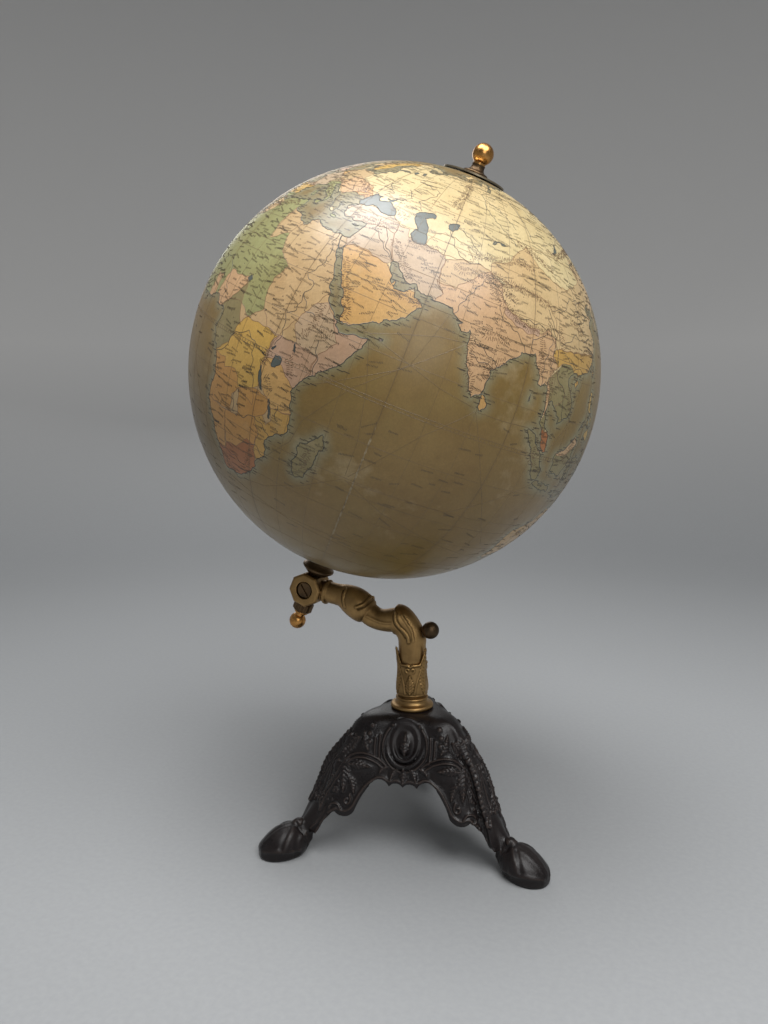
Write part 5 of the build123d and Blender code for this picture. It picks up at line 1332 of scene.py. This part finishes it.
def softened_tripod(points, pairs):
    """Rounds crests, hoofs, shoulders and the join of leg and apron, and keeps the seat and soles sharp."""
    out, side, up = leg_view(fold(points)).T
    crest = np.exp(-(side / CREST_HALF_WIDTH) ** 2) * ramp(up, 40, 48)
    hoof = ramp(out, 82, 86) * ramp(up, 52, 46)
    shoulder = ramp(up, 88, 96)
    join = ramp(side, 3, 6) * ramp(side, 17, 13) * ramp(up, 26, 32)
    join *= ramp(up, 88, 80) * ramp(out, 56, 62)
    loose = ramp(np.hypot(out, side), 25, 29) * ramp(up - DRAWING_DATUM, 0.4, 3.4)
    return soften(points, pairs, np.maximum.reduce((crest, hoof, shoulder, join)) * loose, SOFT_ROUNDS)


def cast_tripod():
    even, points, pairs = remeshed("tripod_base", voxel=0.55, smoothing=2)
    points = softened_tripod(swell_bell(points), pairs)
    normals = surface_normals(even, points)
    folded = fold(points)
    radial = points[:, :2] / np.maximum(np.linalg.norm(points[:, :2], axis=1, keepdims=True), 1e-6)
    outward = (normals[:, :2] * radial).sum(1) + 0.6 * normals[:, 2] > 0.12
    panel = Carving(folded, folded[:, [0, 2]], outward & (folded[:, 2] > 14))
    for ridge in PANEL_RIDGES:
        panel.ridge(*ridge)
    panel.moulding(ARCH_BAND, ARCH_APART, ARCH_HALF_WIDTH, ARCH_HEIGHT)
    panel.beads(PEARL_LINE, PEARL_SPACING, PEARL_RADIUS, PEARL_HEIGHT)
    for leaf in PANEL_LEAVES:
        panel.leaf(*leaf)
    for across, up in PANEL_STUDS:
        panel.beads(((across, up), (across + 0.4, up - 1.4)), SINGLE_BEAD, STUD_RADIUS, STUD_HEIGHT)
    beside = leg_view(folded)
    leg = Carving(beside, beside[:, [0, 2]], outward | (beside[:, 0] > 95))
    for ridge in LEG_RIDGES:
        leg.ridge(*ridge)
    for leaf in LEG_LEAVES:
        leg.leaf(*leaf)
    leg.beads(KNOB, SINGLE_BEAD, KNOB_RADIUS, KNOB_HEIGHT)
    for groove in LEG_GROOVES:
        leg.groove(*groove)
    raised = ORNAMENT_SCALE * np.where(np.abs(leg.height) > np.abs(panel.height), leg.height, panel.height)
    raised *= ramp(points[:, 2] / MM, 1.2, 3.2)
    cast_piece("tripod_base", "tripod_casting", even, points, pairs, raised,
               "base", IRON, TRIPOD_FACES, floor=0.0)


# Ornament of the arm, seen from the side: along the stand's X and up.
ARM_RIDGES = (
    (((-11.4, 199.5), (-10.6, 194), (-7, 188), (-2, 184), (0.5, 180.5), (1.2, 176)), 1.5, 1.2),
    (((-6, 198), (-1, 191.5), (3.6, 185), (5, 177)), 1.2, 0.6),
    (((-38, 194.4), (-30, 191.2), (-22, 189.6), (-15.5, 190.6)), 1.1, 0.5),
    (((-36.5, 214), (-37.2, 208.5), (-40.5, 204), (-46, 202)), 1.5, 1.1),
    (((-58, 215.5), (-59.5, 209), (-57.5, 201)), 1.4, 0.8),
)
ARM_GROOVES = (
    (((-13.6, 202), (-13.2, 194), (-10, 187), (-5, 182.6), (-2.5, 179)), 1.0, 0.5),
    (((-34.5, 212), (-35, 207), (-38.5, 202), (-45, 199.6)), 1.1, 0.5),
    (((-60.8, 214.5), (-61.8, 209), (-60, 201.5)), 0.9, 0.4),
)
# The arm's socket: points nearer to the upright axis and lower than this are inside it.
SOCKET_RADIUS, SOCKET_TOP = 6.5, 191
# Ornament of one sixth of the leaf cup: round from a valley to a leaf's tip, and up.
CUP_SIXTH = 14.6
CUP_RIDGES = (
    (((0, 154.4), (2, 155.8), (5.2, 156), (10, 155.8), (11.8, 159), (13.2, 165), (14.4, 169.5)), 1.1, 0.8),
    (((0, 129.6), (7, 129.6), (14.6, 129.6)), 1.0, 0.5),
    (((4.4, 131.5), (5.6, 139), (9, 147), (12.2, 153)), 1.0, 0.6),
    (((1.2, 152.2), (2.8, 153.4), (4.6, 152.4), (4.4, 150.4), (3, 150)), 0.8, 0.8),
)
CUP_LEAVES = (
    (((14.6, 131), (14.6, 148), (14.6, 168)), 4.6, 0.9, 3.0),
    (((0, 132), (0, 139), (0, 147.5)), 3.8, 1.0, 2.4),
)
# The rim between two leaves stands this much higher than the plain solid's.
VALLEY_LIFT, VALLEY_SPREAD = 3.6, 5
CUP_BORE_RADIUS = 11.6


def cast_arm():
    even, points, pairs = remeshed("arm", voxel=0.42, smoothing=2)
    solid = points / MM
    solid[:, 1] = np.abs(solid[:, 1])
    solid[:, 2] += DRAWING_DATUM
    bored = (np.hypot(solid[:, 0], solid[:, 1]) < SOCKET_RADIUS) & (solid[:, 2] < SOCKET_TOP)
    carved = Carving(solid, solid[:, [0, 2]], ~bored)
    for ridge in ARM_RIDGES:
        carved.ridge(*ridge)
    for groove in ARM_GROOVES:
        carved.groove(*groove)
    cast_piece("arm", "arm_casting", even, points, pairs, carved.height,
               "arm", ARM_BRASS, ARM_FACES)


def cast_cup():
    even, points, pairs = remeshed("leaf_cup", voxel=0.36, smoothing=1)
    folded = fold(points)
    reach = np.hypot(folded[:, 0], folded[:, 1])
    round_by = np.degrees(np.arctan2(folded[:, 0], folded[:, 1])) * CUP_SIXTH / 60
    valley = VALLEY_LIFT * np.exp(-(round_by / VALLEY_SPREAD) ** 2) * ramp(folded[:, 2], 142, 151)
    points[:, 2] += valley * MM
    folded[:, 2] += valley
    carved = Carving(folded, np.column_stack((round_by, folded[:, 2])), reach > CUP_BORE_RADIUS)
    for ridge in CUP_RIDGES:
        carved.ridge(*ridge)
    for leaf in CUP_LEAVES:
        carved.leaf(*leaf)
    cast_piece("leaf_cup", "leaf_cup_casting", even, points, pairs, carved.height,
               "base", ARM_BRASS, CUP_FACES)


cast_tripod()
cast_arm()
cast_cup()


# Ink: thin closed strips and strokes, sunk a little in the paper and standing just above it.
INK_DEPTH = 0.08 * MM
INK_RADIUS = GLOBE_R + 0.02 * MM
DEGREES_PER_MM = 1 / MM_PER_DEGREE
# Widths of the inked lines and strokes, in millimetres.
COAST_WIDTH, BORDER_WIDTH, RIVER_WIDTH, ROUTE_WIDTH = 0.5, 0.32, 0.36, 0.26
NET_WIDTH, SCALE_WIDTH, HILL_WIDTH, WATER_WIDTH = 0.22, 0.28, 0.34, 0.5
DASH_WIDTH, TOWN_WIDTH, DIAL_RING_WIDTH, DIAL_STROKE_WIDTH = 0.36, 0.62, 0.28, 0.24


def outward_from(tree, centre):
    place = add(tree, "GeometryNodeInputPosition").outputs[0]
    away = add(tree, "ShaderNodeVectorMath", {0: place, 1: centre}, operation="SUBTRACT").outputs[0]
    return add(tree, "ShaderNodeVectorMath", {0: away}, operation="NORMALIZE").outputs[0]


def inked(tree, shapes, ink, out):
    whole = add(tree, "GeometryNodeRealizeInstances", {"Geometry": shapes}).outputs[0]
    finished = add(tree, "GeometryNodeSetMaterial", {"Geometry": whole, "Material": ink}).outputs[0]
    tree.links.new(finished, out.inputs["Geometry"])


INK_SOCKETS = (("Geometry", "Geometry"), ("Width", "Float"), ("Depth", "Float"), ("Centre", "Vector"),
               ("Ink", "Material"))


def ink_lines_group():
    """A flat strip along every drawn edge, its broad side facing away from the centre."""
    tree, given, out = new_group("ink_lines", "GeometryNodeTree", INK_SOCKETS, (("Geometry", "Geometry"),))
    drawn = add(tree, "GeometryNodeMeshToCurve", {"Mesh": given["Geometry"]}).outputs[0]
    facing = {"Curve": drawn, "Normal": outward_from(tree, given["Centre"])}
    turned = add(tree, "GeometryNodeSetCurveNormal", facing, mode="FREE").outputs[0]
    section = {"Width": given["Depth"], "Height": given["Width"]}
    profile = add(tree, "GeometryNodeCurvePrimitiveQuadrilateral", section).outputs[0]
    strip = {"Curve": turned, "Profile Curve": profile, "Fill Caps": True}
    inked(tree, add(tree, "GeometryNodeCurveToMesh", strip).outputs[0], given["Ink"], out)
    return tree


def ink_strokes_group():
    """A short stroke on every point, laid along its own direction in its own length."""
    tree, given, out = new_group("ink_strokes", "GeometryNodeTree", INK_SOCKETS, (("Geometry", "Geometry"),))
    size = add(tree, "ShaderNodeCombineXYZ", {"X": 1.0, "Y": given["Width"], "Z": given["Depth"]}).outputs[0]
    stroke = add(tree, "GeometryNodeMeshCube", {"Size": size}).outputs[0]
    outward = outward_from(tree, given["Centre"])
    upright = add(tree, "FunctionNodeAlignRotationToVector", {"Vector": outward}, axis="Z")
    along = add(tree, "GeometryNodeInputNamedAttribute", {"Name": "along"}, data_type="FLOAT_VECTOR")
    laid = {"Rotation": upright.outputs[0], "Vector": along.outputs[0]}
    laid = add(tree, "FunctionNodeAlignRotationToVector", laid, axis="X", pivot_axis="Z").outputs[0]
    length = add(tree, "GeometryNodeInputNamedAttribute", {"Name": "size"}, data_type="FLOAT").outputs[0]
    scale = add(tree, "ShaderNodeCombineXYZ", {"X": length, "Y": 1.0, "Z": 1.0}).outputs[0]
    spots = {"Points": given["Geometry"], "Instance": stroke, "Rotation": laid, "Scale": scale}
    inked(tree, add(tree, "GeometryNodeInstanceOnPoints", spots).outputs[0], given["Ink"], out)
    return tree


INK_LINES = ink_lines_group()
INK_STROKES = ink_strokes_group()


def lay_ink(name, mesh, group, width, ink, body="globe"):
    """Runs an ink group over a drawn mesh and keeps the result as a plain piece."""
    holder = linked(name + "_drawn", mesh)
    step = holder.modifiers.new("ink", "NODES")
    step.node_group = group
    given = {"Width": width * MM, "Depth": INK_DEPTH, "Centre": GLOBE_CENTRE.tolist(), "Ink": ink}
    for socket in group.interface.items_tree:
        if socket.in_out == "INPUT" and socket.name in given:
            step[socket.identifier] = given[socket.name]
    laid = as_mesh(holder)
    laid.name = name
    add_piece(name, laid, body)


def legs_of(runs):
    return np.concatenate([np.stack((run[:-1], run[1:]), 1) for run in runs])


def lines_on_globe(name, legs, width, ink):
    """Legs between pairs of places, each drawn once and joined at shared ends."""
    spots, index = np.unique(np.round(legs.reshape(-1, 2), 4), axis=0, return_inverse=True)
    pairs = np.unique(np.sort(index.reshape(-1, 2), axis=1), axis=0)
    mesh = bpy.data.meshes.new(name)
    mesh.from_pydata(on_globe(spots, INK_RADIUS).tolist(), pairs[pairs[:, 0] != pairs[:, 1]].tolist(), [])
    lay_ink(name, mesh, INK_LINES, width, ink)


def drawn_strokes(name, points, along, length):
    mesh = bpy.data.meshes.new(name)
    mesh.from_pydata(points.tolist(), [], [])
    directions = mesh.attributes.new("along", "FLOAT_VECTOR", "POINT")
    directions.data.foreach_set("vector", along.astype(np.float32).ravel())
    store_values(mesh, "size", length * MM)
    return mesh


def strokes_on_globe(name, places, bearing, length, width, ink):
    """Strokes at places; the bearing is east and north parts, the length in millimetres."""
    here = on_globe(places, INK_RADIUS)
    east = on_globe(places + (0.01, 0), INK_RADIUS) - here
    north = on_globe(places + (0, 0.01), INK_RADIUS) - here
    along = [d / np.linalg.norm(d, axis=1, keepdims=True) for d in (east, north)]
    along = along[0] * bearing[:, :1] + along[1] * bearing[:, 1:]
    lay_ink(name, drawn_strokes(name, here, along, length), INK_STROKES, width, ink)


def moved(places, bearing, distance):
    """Places moved some millimetres along a bearing."""
    shift = bearing * distance[:, None] * DEGREES_PER_MM
    shift[:, 0] /= np.cos(np.radians(places[:, 1]))
    return places + shift


def ink_coasts():
    legs = legs_of([*COASTS.values(), *SHORES.values()])
    polar = (legs[:, :, 1] < -80).any(1) | (np.abs(legs[:, :, 0]) == 180).all(1)
    legs = legs[~polar]
    half = len(legs) // 2
    for name, part in (("coast_lines_1", legs[:half]), ("coast_lines_2", legs[half:])):
        lines_on_globe(name, part, COAST_WIDTH, COAST_INK)


def ink_borders():
    legs = legs_of([ring for _, ring in BORDERS])
    legs = legs[washes_at(legs.mean(1))[1]]
    lines_on_globe("border_lines", legs, BORDER_WIDTH, BORDER_INK)
    rivers = legs_of([winding(places_of(run), 0.8, 0.3) for run in RIVERS])
    lines_on_globe("river_lines", rivers, RIVER_WIDTH, COAST_INK)
    routes = legs_of([halve(places_of(run), 1.5, lambda middles, legs: middles) for run in ROUTES])
    lines_on_globe("route_lines", routes, ROUTE_WIDTH, FAINT_INK)


# Polar circles and tropics, and half the height of the equator's scale, in degrees.
CIRCLES, EQUATOR_HALF = (-66.5, -23.5, 23.5, 66.5), 0.4


def ink_graticule():
    """Meridians and parallels every ten degrees, tropics and polar circles, and the divided equator."""
    lon, lat = np.arange(-180, 181, 2.0), np.arange(-84, 85, 2.0)
    meridians = [np.column_stack((np.full(len(lat), m), lat)) for m in range(-180, 180, 10)]
    parallels = [np.column_stack((lon, np.full(len(lon), p))) for p in range(-80, 81, 10) if p]
    lines_on_globe("graticule_lines", legs_of(meridians + parallels), NET_WIDTH, FAINT_INK)
    levels = [*CIRCLES, -EQUATOR_HALF, EQUATOR_HALF]
    circles = [np.column_stack((lon, np.full(len(lon), p))) for p in levels]
    ticks = [np.array(((m, -EQUATOR_HALF), (m, EQUATOR_HALF))) for m in range(-180, 180)]
    lines_on_globe("equator_lines", legs_of(circles + ticks), SCALE_WIDTH, FAINT_INK)


# Hachures: degrees between two of them, and their shortest and longest in millimetres.
HACHURE_STEP, HACHURE_LENGTH = 0.42, (1.1, 3.0)


def ink_hills():
    """Hachures down both sides of every crest."""
    places, bearings = [], []
    for run in CRESTS:
        fine = fine_run(winding(places_of(run), 1.2, 0.35), HACHURE_STEP)
        along = np.gradient(fine, axis=0)
        along[:, 0] *= np.cos(np.radians(fine[:, 1]))
        across = np.column_stack((-along[:, 1], along[:, 0])) / np.linalg.norm(along, axis=1, keepdims=True)
        for side in (-1, 1):
            places.append(fine)
            bearings.append(side * across)
    places, bearings = np.vstack(places), np.vstack(bearings)
    length = draw.uniform(*HACHURE_LENGTH, len(places))
    places = moved(places, bearings, length / 2 + draw.uniform(0.1, 0.7, len(places)))
    bearings = bearings + draw.normal(0, 0.18, bearings.shape)
    strokes_on_globe("hill_hachures", places, bearings, length, HILL_WIDTH, HILL_INK)


# Water strokes: millimetres along the coast between two, how far off they lie, and their lengths.
WATER_STEP, WATER_REACH, WATER_LENGTH = 2.6, 6.5, (1.8, 5.0)


def ink_water():
    """Short east and west strokes in the water along the coasts."""
    runs = [run[np.abs(run[:, 1]) < 76] for run in COASTS.values()]
    shore = np.vstack([fine_run(run, WATER_STEP * DEGREES_PER_MM) for run in runs if len(run) > 2])
    turn = draw.uniform(0, 2 * math.pi, len(shore))
    away = np.column_stack((np.cos(turn), np.sin(turn)))
    places = moved(shore, away, draw.uniform(0.4, WATER_REACH, len(shore)))
    places = places[washes_at(places)[0] == "sea"]
    level = np.column_stack((np.ones(len(places)), np.zeros(len(places))))
    length = draw.uniform(*WATER_LENGTH, len(places))
    strokes_on_globe("water_strokes", places, level, length, WATER_WIDTH, DARK_INK)


LAND_ROWS, SEA_ROWS, TOWNS = 2050, 480, 420
# Rows of dashes: millimetres between two dashes, and their shortest and longest.
DASH_STEP, DASH_LENGTH = 0.95, (0.8, 1.5)
# Sines of the latitudes between which places are scattered.
SCATTER_SOUTH, SCATTER_NORTH = -0.7, 0.95


def scattered(count, on_land):
    """Seeded places spread evenly over the land or the sea."""
    longitude = draw.uniform(-180, 180, count * 5)
    latitude = np.degrees(np.arcsin(draw.uniform(SCATTER_SOUTH, SCATTER_NORTH, count * 5)))
    places = np.column_stack((longitude, latitude))
    return places[washes_at(places)[1] == on_land][:count]


def ink_fields():
    """Rows of plain upright dashes over land and sea, and a square mark for every town."""
    rows, places = np.vstack((scattered(LAND_ROWS, True), scattered(SEA_ROWS, False))), []
    for row, count, lean in zip(rows, draw.integers(5, 12, len(rows)), draw.normal(0, 0.2, len(rows))):
        step = np.arange(count) - count / 2
        level = np.tile((1.0, lean), (count, 1))
        places.append(moved(np.tile(row, (count, 1)), level, step * DASH_STEP))
    places = np.vstack(places)
    upright = np.column_stack((draw.normal(0, 0.15, len(places)), np.ones(len(places))))
    length, half = draw.uniform(*DASH_LENGTH, len(places)), len(places) // 2
    for name, part in (("field_dashes_1", slice(half)), ("field_dashes_2", slice(half, None))):
        strokes_on_globe(name, places[part], upright[part], length[part], DASH_WIDTH, DARK_INK)
    towns = scattered(TOWNS, True)
    level = np.tile((1.0, 0.0), (len(towns), 1))
    strokes_on_globe("town_marks", towns, level, np.full(len(towns), TOWN_WIDTH), TOWN_WIDTH, DARK_INK)


ink_coasts()
ink_borders()
ink_graticule()
ink_hills()
ink_water()
ink_fields()

# Hour dial: cut rings, hour strokes and plain numbers on the upper face, in millimetres along the rod.
DIAL_TOP, DIAL_HUB, DIAL_SPAN, DIAL_FALL = 167.2, 10.5, 14.5, (0.64, 0.96)
NUMBER_REACH, NUMBER_SIZE, NUMBER_HEIGHT = 20.6, 3.3, 0.06
DIAL_RINGS, RING_STEPS, QUARTER_HOURS = (18.2, 23.2, 24.3), 72, 96
HOUR_LENGTH, QUARTER_LENGTH = 1.3, 0.9


def on_dial(reach, turn, lift=0.0):
    """Points of the dished upper face, from distance off the rod in millimetres and turn in radians."""
    part = np.clip((reach - DIAL_HUB) / DIAL_SPAN, 0, None)
    up = DIAL_TOP - DIAL_FALL[0] * part - DIAL_FALL[1] * part ** 2 + lift
    flat = np.cos(turn)[:, None] * EAST + np.sin(turn)[:, None] * NORTH_OF_EAST
    return GLOBE_CENTRE + (flat * reach[:, None] + AXIS * up[:, None]) * MM


def cut_dial():
    turns = np.linspace(0, 2 * math.pi, RING_STEPS, endpoint=False)
    rings = [on_dial(np.full(RING_STEPS, reach), turns) for reach in DIAL_RINGS]
    mesh = bpy.data.meshes.new("dial_rings")
    edges = np.vstack([closed_loop(ring, RING_STEPS * k) for k, ring in enumerate(rings)])
    mesh.from_pydata(np.vstack(rings).tolist(), edges.tolist(), [])
    lay_ink("dial_rings", mesh, INK_LINES, DIAL_RING_WIDTH, DARK_BRASS, "dial")
    quarter = np.arange(QUARTER_HOURS)
    turns = quarter * 2 * math.pi / QUARTER_HOURS
    _, near, far = (np.full(QUARTER_HOURS, reach) for reach in DIAL_RINGS)
    points = on_dial((near + far) / 2, turns)
    along = on_dial(far, turns) - on_dial(near, turns)
    strokes = drawn_strokes("dial_strokes", points, along, np.where(quarter % 4, QUARTER_LENGTH, HOUR_LENGTH))
    lay_ink("dial_strokes", strokes, INK_STROKES, DIAL_STROKE_WIDTH, DARK_BRASS, "dial")
    number_dial()


def number_dial():
    """The hours, twice one to twelve, each laid flat on the dished face."""
    points, faces = [], []
    for hour in range(24):
        text = bpy.data.curves.new("hour", "FONT")
        text.body, text.size = str(hour % 12 + 1), NUMBER_SIZE * MM
        text.extrude, text.resolution_u = NUMBER_HEIGHT * MM, 2
        text.align_x, text.align_y = "CENTER", "CENTER"
        shape = as_mesh(linked("hour", text))
        flat = np.array([v.co[:] for v in shape.vertices]) / MM
        reach = np.hypot(NUMBER_REACH + flat[:, 1], flat[:, 0])
        turn = 2 * math.pi * hour / 24 - np.arctan2(flat[:, 0], NUMBER_REACH + flat[:, 1])
        faces += [[i + len(points) for i in face.vertices] for face in shape.polygons]
        points += on_dial(reach, turn, flat[:, 2]).tolist()
    numbers = bpy.data.meshes.new("dial_numbers")
    numbers.from_pydata(points, [], faces)
    numbers.materials.append(DARK_BRASS)
    add_piece("dial_numbers", numbers, "dial")


cut_dial()


# Plain studio: a pale floor that curves up into its own backdrop, two broad lamps above and two soft fills.
FLOOR_REACH, BACKDROP_REACH, BACKDROP_TOP, TURN_STEPS = 1.3, 2.6, 2.9, 96
FLOOR_DARK, FLOOR_LIGHT, BACKDROP = (0.295, 0.303, 0.310), (0.318, 0.326, 0.333), (0.55, 0.545, 0.535)


def pale_floor():
    bend = BACKDROP_REACH - FLOOR_REACH
    profile = [(FLOOR_REACH * share, 0.0) for share in (0.02, 0.4, 0.8)]
    for quarter in np.linspace(0, math.pi / 2, 14):
        profile.append((FLOOR_REACH + bend * math.sin(quarter), bend * (1 - math.cos(quarter))))
    profile.append((BACKDROP_REACH, BACKDROP_TOP))
    turns = np.linspace(0, 2 * math.pi, TURN_STEPS, endpoint=False)
    points = [(reach * math.cos(t), reach * math.sin(t), up) for reach, up in profile for t in turns]
    faces = [tuple(range(TURN_STEPS))]
    for ring in range(len(profile) - 1):
        for k in range(TURN_STEPS):
            after = (k + 1) % TURN_STEPS
            faces.append(tuple(ring * TURN_STEPS + i for i in (k, k + TURN_STEPS, after + TURN_STEPS, after)))
    mesh = bpy.data.meshes.new("pale_floor")
    mesh.from_pydata(points, [], faces)
    mesh.polygons.foreach_set("use_smooth", np.ones(len(mesh.polygons), bool))
    material, tree, where = start_material("pale_floor")
    grain = cloud(tree, where, 220.0, 2.0)
    tone = blend(tree, spread(tree, grain, 0.3, 0.7), (*FLOOR_DARK, 1), (*FLOOR_LIGHT, 1))
    up = add(tree, "ShaderNodeSeparateXYZ", {0: where}).outputs["Z"]
    tone = blend(tree, spread(tree, up, 0.02, 0.6), tone, (*BACKDROP, 1))
    end_material(tree, tone, spread(tree, grain, 0.3, 0.7, 0.75, 0.85), grain, 0.00005)
    mesh.materials.append(material)
    floor = linked("pale_floor", mesh)


def lamp(name, place, aim, size, power):
    light = bpy.data.lights.new(name, "AREA")
    light.shape, light.size, light.energy = "DISK", size, power
    holder = linked(name, light)
    holder.location = place
    holder.rotation_euler = (Vector(aim) - Vector(place)).to_track_quat("-Z", "Y").to_euler()


pale_floor()
lamp("key", (0.65, -0.5, 1.5), (-0.02, 0.0, 0.3), 1.2, 21.5)
lamp("overhead", (-0.16, -0.26, 1.6), (-0.02, 0.0, 0.3), 0.75, 14.5)
lamp("front_fill", (1.1, -1.6, 0.9), (0.0, 0.0, 0.25), 1.0, 5)
lamp("back_fill", (-1.0, 1.5, 1.1), (0.0, 0.0, 0.3), 1.0, 4)

world = bpy.data.worlds.new("room")
bpy.context.scene.world = world
world.use_nodes = True
world.node_tree.nodes["Background"].inputs["Color"].default_value = (0.80, 0.82, 0.85, 1)
world.node_tree.nodes["Background"].inputs["Strength"].default_value = 0.31

CAMERA_PLACE = (0.2333, -0.6369, 0.359)
CAMERA_HEADING, CAMERA_DIP = (-0.3769, 0.9262), math.radians(6.716)
CAMERA_LENS = 28.83
camera = bpy.data.cameras.new("camera")
camera.lens = CAMERA_LENS
viewer = linked("camera", camera)
viewer.location = CAMERA_PLACE
level = math.cos(CAMERA_DIP)
sight = Vector((CAMERA_HEADING[0] * level, CAMERA_HEADING[1] * level, -math.sin(CAMERA_DIP)))
viewer.rotation_euler = sight.to_track_quat("-Z", "Y").to_euler()
bpy.context.scene.camera = viewer
bpy.context.scene.view_settings.view_transform = "Standard"
